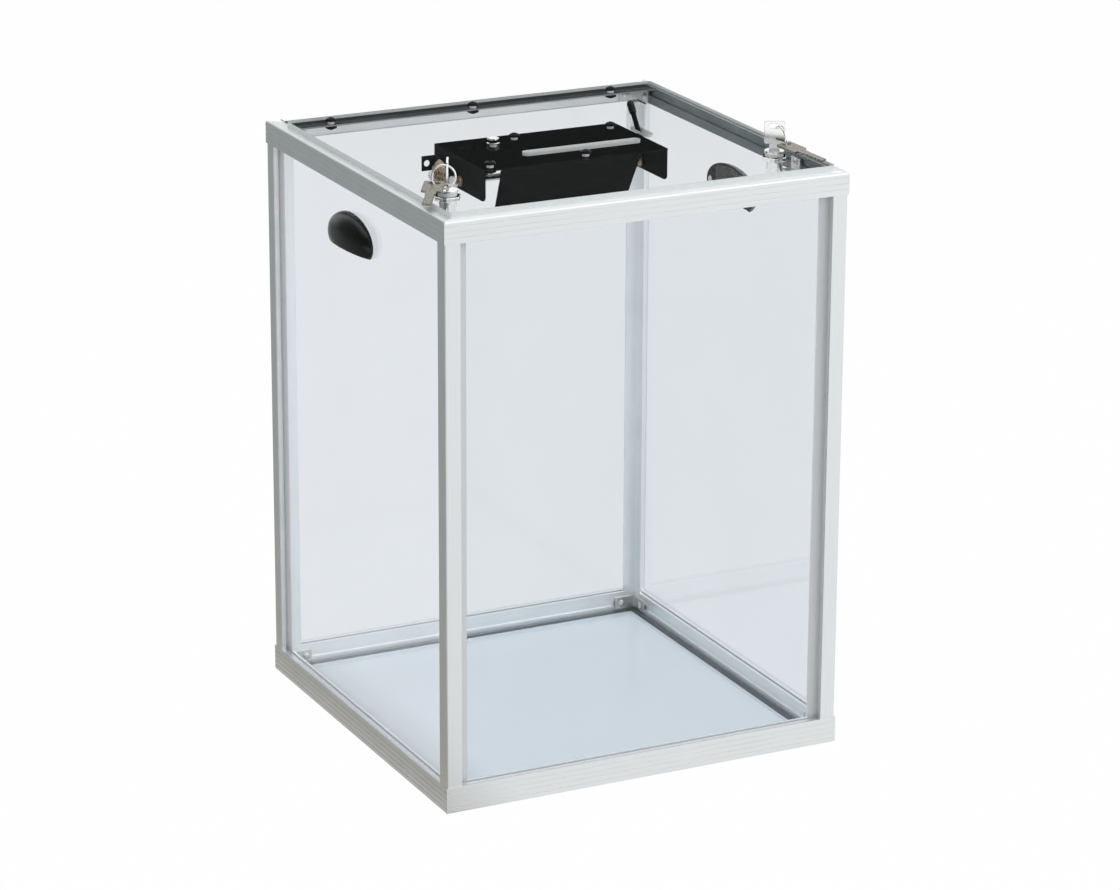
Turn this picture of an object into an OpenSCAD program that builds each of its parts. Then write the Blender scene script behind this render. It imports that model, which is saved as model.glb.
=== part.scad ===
// Clear collection box: aluminium frame, acrylic panels, hinged lid with a counting slot mechanism.
// X runs to the right, Y to the back, Z up. The origin is the middle of the footprint, on the floor.

/* [Frame] */
// Width over the rails
box_w = 400; // [340:1:460]
// Depth over the rails
box_d = 400; // [340:1:460]
// Height to the upper face of the top rails
box_h = 550; // [420:1:650]
// Height of a base rail
base_rail_h = 25; // [24:0.5:32]
// Height of a top rail
top_rail_h = 21; // [20:0.5:26]
// Thickness of a rail, seen from above
rail_t = 13; // [12.5:0.1:16]
// Width of the base rails' ledge that carries the floor
ledge_w = 7; // [5:0.5:12]
// Thickness of that ledge
ledge_h = 4; // [3:0.5:5]
// Width of a post's outer lip
post_lip = 15; // [14:0.5:18]
// Width of a post's inner lip
post_inner = 24; // [19:0.5:26]
// Distance from a rail's outer face to a post's outer face
post_setback = 0.8; // [0.2:0.1:1.5]
// Depth of the fine lines along the outer faces
line_depth = 0.4; // [0.2:0.1:0.6]
// Width of those lines
line_w = 0.7; // [0.4:0.1:1]

/* [Panels] */
// Thickness of a side panel
panel_t = 4; // [3:0.5:5]
// Distance from a rail's outer face to a panel's outer face
panel_in = 6; // [5.5:0.1:6.5]
// Depth of the grooves in the rails
groove_depth = 8; // [5:0.5:9]
// Room around a panel in its groove, on each side
groove_gap = 0.2; // [0.1:0.05:0.4]
// Thickness of the floor panel
floor_t = 3; // [2:0.5:5]

/* [Lid] */
// Thickness of the lid
lid_t = 5; // [4:0.5:6]
// Distance from the rails' outer faces to the lid's edge
lid_inset = 9.5; // [8:0.5:11]
// Distance from the back outer face to the lid's back edge
lid_back = 29; // [28:0.5:34]
// Corner radius of the lid
lid_r = 3; // [1:0.5:6]

/* [Hinge] */
// Distance from the back outer face to the hinge pin
pin_back = 25.5; // [24.5:0.5:26]
// Radius of the hinge pin
pin_r = 1; // [0.8:0.1:1.2]
// Radius of a knuckle
knuckle_r = 2.5; // [2.2:0.1:2.8]
// Thickness of a leaf
leaf_t = 1.2; // [1:0.1:1.5]
// Number of knuckles along the hinge
knuckles = 13; // [7:2:17]
// Depth of the moving leaf under the lid
moving_leaf_w = 26; // [22:1:32]
// Distance from the back edge of the lid to its screws
hinge_screw_in = 17; // [12:1:20]
// Distance between the hinge screws
hinge_screw_pitch = 146; // [120:1:160]
// How far the hinge screws sit left of the middle
hinge_screw_left = 7; // [0:0.5:10]

/* [Slot mechanism] */
// Width of the housing's top plate
plate_w = 185; // [180:1:200]
// Depth of the housing's top plate
plate_d = 109; // [105:1:120]
// Sheet thickness of the housing
sheet_t = 1.5; // [1:0.1:2]
// Middle of the plate, from the middle of the box, across
plate_x = -4.5; // [-8:0.5:8]
// Middle of the plate, from the middle of the box, front to back
plate_y = -9.5; // [-15:0.5:5]
// Height of the end flanges, with the plate
flange_h = 30; // [28:1:36]
// Corner radius of the flanges
flange_r = 5; // [2:0.5:8]
// Length of the slot
slot_len = 119; // [100:1:125]
// Width of the slot
slot_w = 10; // [8:0.5:11]
// Middle of the slot, from the middle of the box, across
slot_x = 17; // [10:0.5:20]
// Distance from the plate's front edge to the middle of the slot
slot_in = 35.5; // [35:0.5:38]
// Width of the chute at its top
chute_w = 140; // [130:1:144]
// How much narrower the chute is at its foot
chute_taper = 6; // [2:1:12]
// How far the chute drops below the plate
chute_drop = 44; // [38:1:48]
// How far the chute runs back
chute_run = 22; // [16:1:24]

/* [Shutter] */
// Thickness of the shutter
shutter_t = 1; // [0.8:0.1:1.2]
// How far the shutter covers the box side of the slot all round
shutter_cover = 1.2; // [0.8:0.1:1.6]
// Width of a shutter guide
guide_w = 4.5; // [3:0.5:5]

/* [Lever] */
// Radius of the cross shaft
shaft_r = 3; // [2.5:0.1:3.4]
// Depth of the shaft below the lid's underside
shaft_drop = 22; // [20:0.5:23]
// Distance from the slot's middle back to the shaft
shaft_behind_slot = 16.5; // [15:0.5:18]
// Distance from the housing's right face to the middle of the lever
lever_out = 5; // [4:0.5:7]
// How far the lever leans back at rest, in degrees
lever_lean = 36.5; // [30:0.5:40]
// How far the lever swings forward, in degrees
lever_swing = 40; // [30:1:42]
// Length from the shaft to the lever's tip
lever_len = 61.5; // [50:0.5:75]
// Radius of the lever's rod
lever_rod_r = 2.3; // [2:0.1:2.6]
// Radius of the lever's grip
grip_r = 3.5; // [3:0.1:5]
// Length of the lever's grip
grip_len = 13; // [10:0.5:20]
// Throw of the crank that drives the shutter
crank_r = 17; // [16:0.1:17.5]
// Width of the lever's slot in the lid
lever_slot_w = 8; // [6:0.5:9]

/* [Counter] */
// Width of the counter's case
counter_w = 30; // [28:1:32]
// Depth of the counter's case
counter_d = 24; // [22:1:26]
// Height of the counter's case
counter_h = 25; // [23:1:26]
// Radius of a number wheel
wheel_r = 9; // [8:0.5:9.5]
// Number of wheels
wheel_count = 4; // [3:1:4]
// Pitch of the wheels
wheel_pitch = 5; // [4.5:0.1:5.5]

/* [Bell] */
// Radius of the gong
gong_r = 14; // [12:0.5:15]
// Depth of the gong
gong_depth = 8; // [6:0.5:10]
// Wall of the gong
gong_t = 1; // [0.8:0.1:1.4]

/* [Locks] */
// Distance from a side's outer face to a lock
lock_side = 37; // [36:0.5:40]
// Distance from the front outer face to the locks
lock_front = 73; // [60:1:90]
// Radius of a lock's head
lock_head_r = 9; // [8.5:0.1:10]
// Thickness of a lock's head
lock_head_t = 2.5; // [2:0.1:4]
// Radius of a lock's barrel
lock_barrel_r = 8; // [7.5:0.1:8.2]
// Length of the barrel below the head
lock_barrel_len = 20.5; // [19.5:0.5:20.5]
// Radius of the plug that the key turns
lock_plug_r = 6; // [5.5:0.1:6.3]
// Length of a cam, from its pivot
cam_len = 23.5; // [22:0.5:24]
// Width of a cam
cam_w = 11; // [10:0.5:13]
// Thickness of a cam
cam_t = 2; // [1.5:0.1:2.5]

/* [Keys] */
// Width of a key's head
key_head_w = 19; // [16:0.5:22]
// Height of a key's head
key_head_h = 21; // [18:0.5:24]
// Thickness of a key
key_t = 2; // [1.6:0.1:2.2]
// Width of a key's blade
key_blade_w = 8; // [6.5:0.1:8.5]
// Length of a key's blade
key_blade_len = 20; // [16:0.5:22]
// Outer radius of a key ring
ring_r = 11.2; // [10.5:0.1:11.5]
// Radius of a key ring's wire
ring_wire_r = 0.8; // [0.6:0.1:1]

/* [Handles] */
// Length of a handle shell
handle_len = 90; // [80:1:110]
// Height of a handle shell
handle_h = 34; // [28:1:40]
// How far a handle shell stands out of its panel
handle_out = 16; // [12:1:20]
// Wall of a handle shell
handle_t = 2.5; // [2:0.1:3]
// Distance from the top rails' upper face down to the handles' open edge
handle_drop = 78; // [70:1:120]
// How far the handles sit behind the middle of the sides
handle_back = 10; // [0:1:20]
// How far a handle's lip slopes up from the panel
handle_lip_up = 5; // [2:0.5:8]
// Width of the flange that a handle is screwed down by
handle_flange = 9; // [8:0.5:11]

/* [Fasteners] */
// Head radius of a lid screw
lid_screw_head_r = 5.2; // [4.8:0.1:5.3]
// Head height of a lid screw
lid_screw_head_h = 3.3; // [2.5:0.1:3.5]
// Shank radius of a lid screw
lid_screw_r = 3; // [2.5:0.1:3]
// Radius across the corners of a lid screw's nut
lid_nut_r = 5.7; // [5:0.1:5.8]
// Height of that nut
lid_nut_h = 3; // [2.5:0.1:4]
// Head radius of a frame screw
frame_screw_head_r = 3.5; // [3:0.1:3.6]
// Head height of a frame screw
frame_screw_head_h = 2.2; // [1.8:0.1:2.2]
// Shank radius of a frame screw
frame_screw_r = 1.8; // [1.5:0.1:2]
// Length of a corner bracket's leg
bracket_leg = 22; // [18:1:26]
// Height of a corner bracket
bracket_h = 12; // [10:0.5:12.5]
// Thickness of a corner bracket
bracket_t = 2; // [1.5:0.1:2.5]

/* [Hidden] */
$fn = 64;

// Clearances
run_gap = 0.05;
free_gap = 0.3;
hole_gap = 0.2;
mitre_gap = 0.05;
thin = 0.01;

// Frame
post_bottom = base_rail_h;
post_top = box_h - top_rail_h;
panel_low = base_rail_h - groove_depth + free_gap;
panel_high = post_top + groove_depth - free_gap;
groove_t0 = panel_in - groove_gap;
groove_t1 = panel_in + panel_t + groove_gap;
post_web = post_lip - 4;
post_shell = 2.6;
panel_edge = post_setback + post_web + free_gap;
channel_depth = 1.6;
rail_r = 1.6;
top_round_r = 2.5;
inner_lip_up = 3;
floor_edge = rail_t + free_gap;

base_bracket_low = ledge_h + floor_t + 1;
top_bracket_low = post_top + inner_lip_up;

// Levels
lid_low = box_h;
lid_high = lid_low + lid_t;
plate_low = lid_low - sheet_t;
shutter_high = plate_low - 0.5;
shutter_low = shutter_high - shutter_t;
guide_lip_high = shutter_low - 0.2;
guide_lip_h = 1.1;
shaft_z = lid_low - shaft_drop;

// Slot mechanism
plate_left = plate_x - plate_w / 2;
plate_right = plate_x + plate_w / 2;
plate_front = plate_y - plate_d / 2;
plate_back = plate_y + plate_d / 2;
slot_y = plate_front + slot_in;
slot_left = slot_x - slot_len / 2;
slot_right = slot_x + slot_len / 2;
shaft_y = slot_y + shaft_behind_slot;
lever_x = plate_right + lever_out;
lever_hub_r = 5.5;
lever_hub_w = 6;
lever_tilt_end = lever_lean - lever_swing;
lever_slot_back = shaft_y + (shaft_drop + lid_t) * tan(lever_lean) + lever_rod_r + 7;
lever_slot_front = shaft_y + (shaft_drop + lid_t) * tan(lever_tilt_end) - lever_rod_r - 2.5;
bush_r = 5;
bush_flange_r = 6;
shaft_left = plate_left - 9;
shaft_right = lever_x + lever_hub_w / 2 + 1;

housing_screws = [
    [plate_left + 9, plate_front + 8.5],
    [slot_x - 9, plate_front + 9],
    [slot_x - 41, plate_back - 17],
    [plate_right - 13, plate_back - 17]
];

// Shutter, crank and fork
crank_lean = lever_swing / 2;
crank_pin_r = 1.5;
crank_x = slot_left - 11;
crank_w = 3;
crank_arm_half = crank_pin_r - 0.5;
shutter_left = crank_x - 6;
shutter_right = slot_right + 3;
shutter_back = slot_y + slot_w / 2 + shutter_cover;
shutter_front = slot_y - slot_w / 2 - shutter_cover - 1.3;
crank_pin_y = shaft_y + crank_r * sin(crank_lean);
fork_gap = crank_pin_r + free_gap;
fork_t = 1.6;
fork_low = shaft_z + crank_r * cos(crank_lean) - 0.8;
guide_over = 2;
guide_front = shutter_front - 2 * crank_r * sin(crank_lean) - 2;
guide_back = crank_pin_y + fork_gap + fork_t + 2;

// Chute
chute_mid = plate_x - 5.5;
chute_lip = 2.4;
chute_foot = 3;

// Counter
counter_x = plate_left + 6 + counter_w / 2;
counter_y = shaft_y + 30;
counter_high = plate_low - thin;
counter_wall = 1.5;
wheel_z = counter_high - wheel_r - 3;
axle_r = 1.5;
wheel_t = wheel_pitch - 0.4;
window_w = wheel_count * wheel_pitch;
window_d = 9;
stud_x = counter_x + 23;
stud_y = counter_y - 6;
stud_r = 3;

// Bell
gong_y = shaft_y + gong_r + 15;
gong_rim_x = plate_left - 6.5;
bell_stud_r = 2.5;
striker_reach = gong_y - gong_r - shaft_y - 0.5;
striker_head_r = 2.5;
striker_x = gong_rim_x - 1;

// Hinge
pin_y = box_d / 2 - pin_back;
pin_z = box_h + 1.5;
hinge_len = box_w - 2 * rail_t - 2;
knuckle_pitch = hinge_len / knuckles;
knuckle_gap = 0.3;
lid_back_y = box_d / 2 - lid_back;
hinge_screw_y = lid_back_y - hinge_screw_in;
hinge_screw_xs = [for (i = [-1, 0, 1]) i * hinge_screw_pitch - hinge_screw_left];

// Locks
lock_x = box_w / 2 - lock_side;
lock_y = lock_front - box_d / 2;
lock_top = lid_high + lock_head_t;
barrel_low = lid_high - lock_barrel_len;
nut_h = 4;
nut_r = 12.5;
cam_high = barrel_low - 2;
cam_low = cam_high - cam_t;
cam_square = 6;
cam_screw_r = 4;
cam_screw_h = 2;
keyway_depth = key_blade_len + 1;
keeper_w = 16;
keeper_t = 1.8;
keeper_leg = 12;
keeper_rise = 13;
keeper_low = cam_high + 0.5;

// Keys
key_neck_h = 6;
key_neck_w = 9.5;
key_hole_w = 11;
key_hole_h = 4;
key_hole_down = 4.6;
key_head_low = lock_top + key_neck_h;
key_eye_z = key_head_low + key_head_h - key_hole_down;
ring_mid_r = ring_r - ring_wire_r;
ring_eye_y = -2.4;
ring_eye_z = key_eye_z - 0.6;
ring_lean = 12;
ring_tilt = 17.5;
ring_low_angle = 235;
spare_dip = 10;
// For each lock: turn of the key, turn of the ring against the key, and turn of the spare against the ring
left_set = [-26, 0, -8];
right_set = [64, 24, -64];

// Handles
handle_panel = box_w / 2 - panel_in;
handle_z = box_h - handle_drop;
handle_axis_up = handle_h / 3;
barrel_top = handle_h - handle_axis_up;
barrel_r = (barrel_top * barrel_top + handle_out * handle_out) / (2 * handle_out);
barrel_sink = barrel_r - handle_out;
handle_screw_y = handle_len / 2 - 12;
handle_screw_up = 13;

// Fasteners
frame_screw_len = 6;

alu = "#c9cdd2";
steel = "#222222";
bright = "#d8d8d4";
acrylic = [0.85, 0.88, 0.93, 0.35];

// ---- profiles, drawn with x as the depth from the outer face and y as the height

module outer_lines(height, count) {
    for (i = [1 : count])
        translate([-thin, i * height / (count + 1) - line_w / 2]) square([line_depth + thin, line_w]);
}

module base_profile() {
    difference() {
        union() {
            translate([0, rail_r]) square([rail_t, base_rail_h - rail_r]);
            translate([rail_r, 0]) square([rail_t + ledge_w - rail_r, ledge_h]);
            translate([rail_r, rail_r]) circle(rail_r);
        }
        translate([groove_t0, base_rail_h - groove_depth])
            square([groove_t1 - groove_t0, groove_depth + 1]);
        translate([rail_t - channel_depth, base_rail_h / 2 - 1]) square([channel_depth + 1, 4.5]);
        outer_lines(base_rail_h, 4);
    }
}

module top_profile() {
    difference() {
        union() {
            square([rail_t, top_rail_h - top_round_r]);
            translate([top_round_r, 0]) square([rail_t - top_round_r, top_rail_h]);
            translate([top_round_r, top_rail_h - top_round_r]) circle(top_round_r);
        }
        translate([groove_t0, -1]) square([groove_t1 - groove_t0, groove_depth + 1]);
        translate([groove_t1 - thin, -1]) square([rail_t, inner_lip_up + 1]);
        translate([rail_t - channel_depth, top_rail_h - 10]) square([channel_depth + 1, 6.5]);
        outer_lines(top_rail_h, 3);
    }
}

// Outer corner at the origin, with the two panel grooves opening to +x and +y.
module post_profile() {
    groove_a = groove_t0 - post_setback;
    groove_b = groove_t1 - post_setback;
    difference() {
        union() {
            translate([rail_r, rail_r]) circle(rail_r);
            translate([rail_r, 0]) square([post_lip - rail_r, groove_a]);
            translate([0, rail_r]) square([groove_a, post_lip - rail_r]);
            translate([rail_r, rail_r]) square(post_web - rail_r);
            translate([post_shell, groove_b]) square([post_inner - post_shell, post_shell]);
            translate([groove_b, post_shell]) square([post_shell, post_inner - post_shell]);
        }
        translate([post_web, groove_a]) square([post_inner, groove_b - groove_a]);
        translate([groove_a, post_web]) square([groove_b - groove_a, post_inner]);
    }
}

// ---- frame, with side 0 front, 1 right, 2 back and 3 left

function side_len(side) = side % 2 == 0 ? box_w : box_d;
function side_out(side) = side % 2 == 0 ? box_d / 2 : box_w / 2;

module on_side(side) {
    rotate([0, 0, 90 * side]) translate([0, -side_out(side), 0]) children();
}

module mitred_rail(side, height, depth) {
    len = side_len(side);
    half = len / 2 - mitre_gap;
    on_side(side) intersection() {
        translate([-len / 2, 0, 0]) rotate([90, 0, 90]) linear_extrude(len) children();
        linear_extrude(height)
            polygon([[-half, 0], [half, 0], [half - depth, depth], [depth - half, depth]]);
    }
}

module base_rail(side) {
    color(alu) mitred_rail(side, base_rail_h, rail_t + ledge_w) base_profile();
}

module top_rail(side) {
    color(alu) translate([0, 0, post_top]) mitred_rail(side, top_rail_h, rail_t) top_profile();
}

module post(sx, sy) {
    color(alu) mirror([sx > 0 ? 1 : 0, 0, 0]) mirror([0, sy > 0 ? 1 : 0, 0])
        translate([post_setback - box_w / 2, post_setback - box_d / 2, post_bottom])
            linear_extrude(post_top - post_bottom) post_profile();
}

module side_panel(side) {
    len = side_len(side) - 2 * panel_edge;
    color(acrylic) difference() {
        on_side(side)
            translate([-len / 2, panel_in, panel_low]) cube([len, panel_t, panel_high - panel_low]);
        if (side % 2 == 1)
            for (s = [-1, 1], e = [-1, 1]) handle_screw_place(s, e)
                cylinder(r = frame_screw_r + hole_gap, h = 20, center = true);
    }
}

module floor_panel() {
    color(acrylic) translate([floor_edge - box_w / 2, floor_edge - box_d / 2, ledge_h])
        cube([box_w - 2 * floor_edge, box_d - 2 * floor_edge, floor_t]);
}

module at_corners() {
    for (sx = [0, 1], sy = [0, 1])
        mirror([sx, 0, 0]) mirror([0, sy, 0])
            translate([rail_t - box_w / 2, rail_t - box_d / 2, 0]) children();
}

// An L of flat bar against the two inner walls, drilled for one screw in each leg.
module corner_bracket(low) {
    difference() {
        translate([0, 0, low]) union() {
            cube([bracket_leg, bracket_t, bracket_h]);
            cube([bracket_t, bracket_leg, bracket_h]);
        }
        bracket_screw_places(low) cylinder(r = frame_screw_r + hole_gap, h = 20, center = true);
    }
}

module bracket_screw_places(low) {
    along = bracket_leg - 6;
    up = low + bracket_h / 2;
    translate([along, bracket_t, up]) rotate([-90, 0, 0]) children();
    translate([bracket_t, along, up]) rotate([0, 90, 0]) children();
}

module base_corner_brackets() {
    color(bright) at_corners() corner_bracket(base_bracket_low);
}

module top_corner_brackets() {
    color(bright) at_corners() corner_bracket(top_bracket_low);
}

// A button-head screw with its seat at the origin and its head towards +z.
module button_screw(head_r, head_h, shank_r, len) {
    edge = head_h * 0.35;
    dome_r = (head_r * head_r + pow(head_h - edge, 2)) / (2 * (head_h - edge));
    cylinder(r = head_r, h = edge);
    intersection() {
        translate([0, 0, head_h - dome_r]) sphere(dome_r);
        cylinder(r = head_r, h = head_h);
    }
    translate([0, 0, -len]) cylinder(r = shank_r, h = len + edge);
}

module frame_screw(len) {
    button_screw(frame_screw_head_r, frame_screw_head_h, frame_screw_r, len);
}

module frame_screws() {
    color(bright) {
        at_corners() {
            bracket_screw_places(base_bracket_low) frame_screw(bracket_t);
            bracket_screw_places(top_bracket_low) frame_screw(bracket_t);
        }
        for (s = [-1, 1]) {
            keeper_screw_place(s) frame_screw(keeper_t);
            for (e = [-1, 1]) handle_screw_place(s, e) frame_screw(panel_t + handle_t);
        }
    }
}

// ---- handles

module handle_barrel(shrink) {
    half = handle_len / 2 - shrink;
    translate([-barrel_sink, 0, handle_axis_up]) rotate([90, 0, 0]) rotate_extrude($fn = 96) intersection() {
        translate([0, -half]) square([barrel_r, 2 * half]);
        union() {
            translate([0, handle_out - shrink - half]) square([barrel_r - shrink, 2 * (half - handle_out + shrink)]);
            for (e = [-1, 1]) translate([barrel_sink, e * (half - handle_out + shrink)])
                circle(handle_out - shrink, $fn = 96);
        }
    }
}

// The right-hand shell: a barrel with round ends, sunk in the panel and open below, with flats for its screws.
module handle(side) {
    color(steel) mirror([side < 0 ? 1 : 0, 0, 0]) translate([handle_panel, handle_back, handle_z]) {
        difference() {
            intersection() {
                handle_barrel(0);
                translate([0, handle_len, 0]) rotate([90, 0, 0]) linear_extrude(2 * handle_len)
                    polygon([[0, 0], [2 * handle_out, 2 * handle_lip_up], [2 * handle_out, 2 * handle_h],
                             [0, 2 * handle_h]]);
            }
            difference() {
                handle_barrel(handle_t);
                for (e = [-1, 1]) translate([-thin, e * handle_len / 2 - 2 * handle_flange, -1])
                    cube([handle_t + thin, 4 * handle_flange, 2 * handle_h]);
            }
            for (e = [-1, 1]) translate([0, e * handle_screw_y, handle_screw_up])
                rotate([0, 90, 0]) cylinder(r = frame_screw_r + hole_gap, h = 20, center = true);
        }
    }
}

module handle_screw_place(side, e) {
    mirror([side < 0 ? 1 : 0, 0, 0])
        translate([handle_panel - panel_t, handle_back + e * handle_screw_y, handle_z + handle_screw_up])
            rotate([0, -90, 0]) children();
}

// ---- lock keepers, one on each side rail

module keeper_screw_place(side) {
    mirror([side < 0 ? 1 : 0, 0, 0])
        translate([box_w / 2 - rail_t - keeper_t, lock_y, keeper_low + keeper_rise - 4])
            rotate([0, -90, 0]) children();
}

module lock_keepers() {
    wall_x = box_w / 2 - rail_t;
    color(bright) for (s = [-1, 1]) difference() {
        mirror([s < 0 ? 1 : 0, 0, 0]) translate([0, lock_y - keeper_w / 2, keeper_low]) union() {
            translate([wall_x - keeper_t, 0, 0]) cube([keeper_t, keeper_w, keeper_rise]);
            translate([wall_x - keeper_leg, 0, 0]) cube([keeper_leg, keeper_w, keeper_t]);
        }
        keeper_screw_place(s) cylinder(r = frame_screw_r + hole_gap, h = 12, center = true);
    }
}

// ---- hinge

module along_knuckles(first) {
    for (i = [first : 2 : knuckles - 1])
        translate([-hinge_len / 2 + i * knuckle_pitch + knuckle_gap / 2, pin_y, pin_z]) children();
}

module knuckle_form(r) {
    rotate([0, 90, 0]) cylinder(r = r, h = knuckle_pitch - knuckle_gap);
}

module knuckle_room() {
    translate([-knuckle_gap, 0, 0]) rotate([0, 90, 0])
        cylinder(r = knuckle_r + free_gap, h = knuckle_pitch + knuckle_gap);
}

module pin_hole() {
    translate([-box_w / 2, pin_y, pin_z]) rotate([0, 90, 0]) cylinder(r = pin_r + run_gap, h = box_w);
}

module hinge_fixed_leaf() {
    leaf_back = box_d / 2 - top_round_r - 1.5;
    color(alu) difference() {
        union() {
            translate([-hinge_len / 2, pin_y, box_h]) cube([hinge_len, leaf_back - pin_y, leaf_t]);
            along_knuckles(0) knuckle_form(knuckle_r);
        }
        along_knuckles(1) knuckle_room();
        pin_hole();
    }
}

module hinge_moving_leaf() {
    color(steel) difference() {
        union() {
            translate([-hinge_len / 2 + 1, pin_y - moving_leaf_w, lid_low - leaf_t])
                cube([hinge_len - 2, moving_leaf_w, leaf_t]);
            along_knuckles(1) knuckle_form(knuckle_r);
        }
        along_knuckles(0) knuckle_room();
        pin_hole();
        hinge_screw_holes();
    }
}

module hinge_pin() {
    color(bright) translate([-hinge_len / 2, pin_y, pin_z]) rotate([0, 90, 0])
        cylinder(r = pin_r, h = hinge_len);
}

module at_hinge_screws() {
    for (x = hinge_screw_xs) translate([x, hinge_screw_y, lid_high]) children();
}

module hinge_screw_holes() {
    at_hinge_screws() cylinder(r = lid_screw_r + hole_gap, h = 30, center = true);
}

// ---- lid

module at_housing_screws() {
    for (p = housing_screws) translate([p[0], p[1], lid_high]) children();
}

module slot_form(grow) {
    half = slot_len / 2 - slot_w / 2;
    for (s = [-1, 1]) translate([slot_x + s * half, slot_y]) circle(slot_w / 2 + grow);
    translate([slot_x - half, slot_y - slot_w / 2 - grow]) square([2 * half, slot_w + 2 * grow]);
}

module lever_slot_form() {
    end = lever_slot_w / 2;
    for (y = [lever_slot_front + end, lever_slot_back - end]) translate([lever_x, y]) circle(end);
    translate([lever_x - end, lever_slot_front + end])
        square([lever_slot_w, lever_slot_back - lever_slot_front - 2 * end]);
}

module rounded_plate(w, d, r) {
    for (x = [r, w - r], y = [r, d - r]) translate([x, y]) circle(r);
    translate([r, 0]) square([w - 2 * r, d]);
    translate([0, r]) square([w, d - 2 * r]);
}

module lid_panel() {
    w = box_w - 2 * lid_inset;
    d = box_d - lid_inset - lid_back;
    color(acrylic) translate([0, 0, lid_low]) linear_extrude(lid_t) difference() {
        translate([-w / 2, lid_inset - box_d / 2]) rounded_plate(w, d, lid_r);
        slot_form(0);
        lever_slot_form();
        for (s = [-1, 1]) translate([s * lock_x, lock_y]) circle(lock_barrel_r + hole_gap);
        translate([stud_x, stud_y]) circle(stud_r + hole_gap);
        for (p = housing_screws) translate(p) circle(lid_screw_r + hole_gap);
        for (x = hinge_screw_xs) translate([x, hinge_screw_y]) circle(lid_screw_r + hole_gap);
    }
}

module nutted_screw(grip) {
    button_screw(lid_screw_head_r, lid_screw_head_h, lid_screw_r, grip + lid_nut_h + 1);
    translate([0, 0, -grip - lid_nut_h]) cylinder(r = lid_nut_r, h = lid_nut_h, $fn = 6);
}

module lid_screws() {
    color(steel) {
        at_housing_screws() nutted_screw(lid_t + sheet_t);
        at_hinge_screws() nutted_screw(lid_t + leaf_t);
    }
}

// ---- slot mechanism

module end_flange(x) {
    depth = plate_d - 2;
    translate([x, plate_front + 2, lid_low - flange_h]) rotate([90, 0, 90]) linear_extrude(sheet_t)
        union() {
            translate([0, flange_r]) square([depth, flange_h - flange_r]);
            translate([flange_r, 0]) square([depth - 2 * flange_r, flange_r + thin]);
            for (y = [flange_r, depth - flange_r]) translate([y, flange_r]) circle(flange_r);
        }
}

module shaft_line(r, x0, x1) {
    translate([x0, shaft_y, shaft_z]) rotate([0, 90, 0]) cylinder(r = r, h = x1 - x0);
}

module bell_stud_line(r, x0, x1) {
    translate([x0, gong_y, shaft_z]) rotate([0, 90, 0]) cylinder(r = r, h = x1 - x0);
}

module slot_housing() {
    color(steel) difference() {
        union() {
            translate([plate_left, plate_front, plate_low]) linear_extrude(sheet_t)
                rounded_plate(plate_w, plate_d, 2);
            end_flange(plate_left);
            end_flange(plate_right - sheet_t);
        }
        translate([0, 0, plate_low - 1]) linear_extrude(sheet_t + 2) {
            slot_form(0.5);
            for (p = housing_screws) translate(p) circle(lid_screw_r + hole_gap);
            translate([stud_x, stud_y]) circle(stud_r + hole_gap);
            translate([counter_x - window_w / 2, counter_y - window_d / 2]) square([window_w, window_d]);
        }
        shaft_line(bush_r + thin, plate_left - 1, plate_right + 1);
        bell_stud_line(bell_stud_r + hole_gap, plate_left - 1, plate_left + sheet_t + 1);
    }
}

// The chute is drawn in the YZ plane and its sides are cut to its taper.
module slot_chute() {
    slope_len = sqrt(chute_drop * chute_drop + chute_run * chute_run);
    lean = atan(chute_run / chute_drop);
    top_half = chute_w / 2;
    foot_half = (chute_w - chute_taper) / 2;
    color(steel) translate([chute_mid, plate_front, plate_low]) {
        translate([-top_half, 0, -sheet_t]) cube([chute_w, chute_lip, sheet_t]);
        rotate([lean, 0, 0]) {
            rotate([90, 0, 0]) translate([0, 0, -sheet_t]) linear_extrude(sheet_t)
                polygon([[-top_half, -1.2], [top_half, -1.2], [foot_half, -slope_len], [-foot_half, -slope_len]]);
            translate([-foot_half, 0, -slope_len]) cube([2 * foot_half, chute_foot, sheet_t]);
        }
    }
}

module shutter_guide(side) {
    wall = side < 0 ? shutter_left - free_gap - guide_w : shutter_right + free_gap;
    lip = side < 0 ? shutter_left - free_gap - thin : shutter_right + free_gap - guide_over;
    low = guide_lip_high - guide_lip_h;
    translate([wall, guide_front, low]) cube([guide_w, guide_back - guide_front, plate_low - low]);
    translate([lip, guide_front, low]) cube([guide_over + thin, guide_back - guide_front, guide_lip_h]);
}

module shutter_guides() {
    color(bright) for (s = [-1, 1]) shutter_guide(s);
}

module shutter_plate() {
    fork_x = crank_x - 3;
    fork_w = 6;
    tail_back = crank_pin_y + fork_gap + fork_t;
    color(bright) {
        translate([shutter_left, shutter_front, shutter_low])
            cube([shutter_right - shutter_left, shutter_back - shutter_front, shutter_t]);
        translate([shutter_left, shutter_back - thin, shutter_low])
            cube([12, tail_back - shutter_back + thin, shutter_t]);
        for (y = [crank_pin_y - fork_gap - fork_t, crank_pin_y + fork_gap])
            translate([fork_x, y, fork_low]) cube([fork_w, fork_t, shutter_low - fork_low + thin]);
    }
}

module shaft_bushes() {
    color("#b08d57") for (s = [0, 1]) {
        x = s == 0 ? plate_left : plate_right - sheet_t;
        inner = s == 0 ? x + sheet_t : x - 2;
        outer = s == 0 ? x - 1 : x + sheet_t;
        difference() {
            union() {
                shaft_line(bush_r, min(inner, outer), max(inner + 2, outer + 1));
                shaft_line(bush_flange_r, inner, inner + 2);
            }
            shaft_line(shaft_r + run_gap, inner - 10, inner + 12);
        }
    }
}

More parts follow.
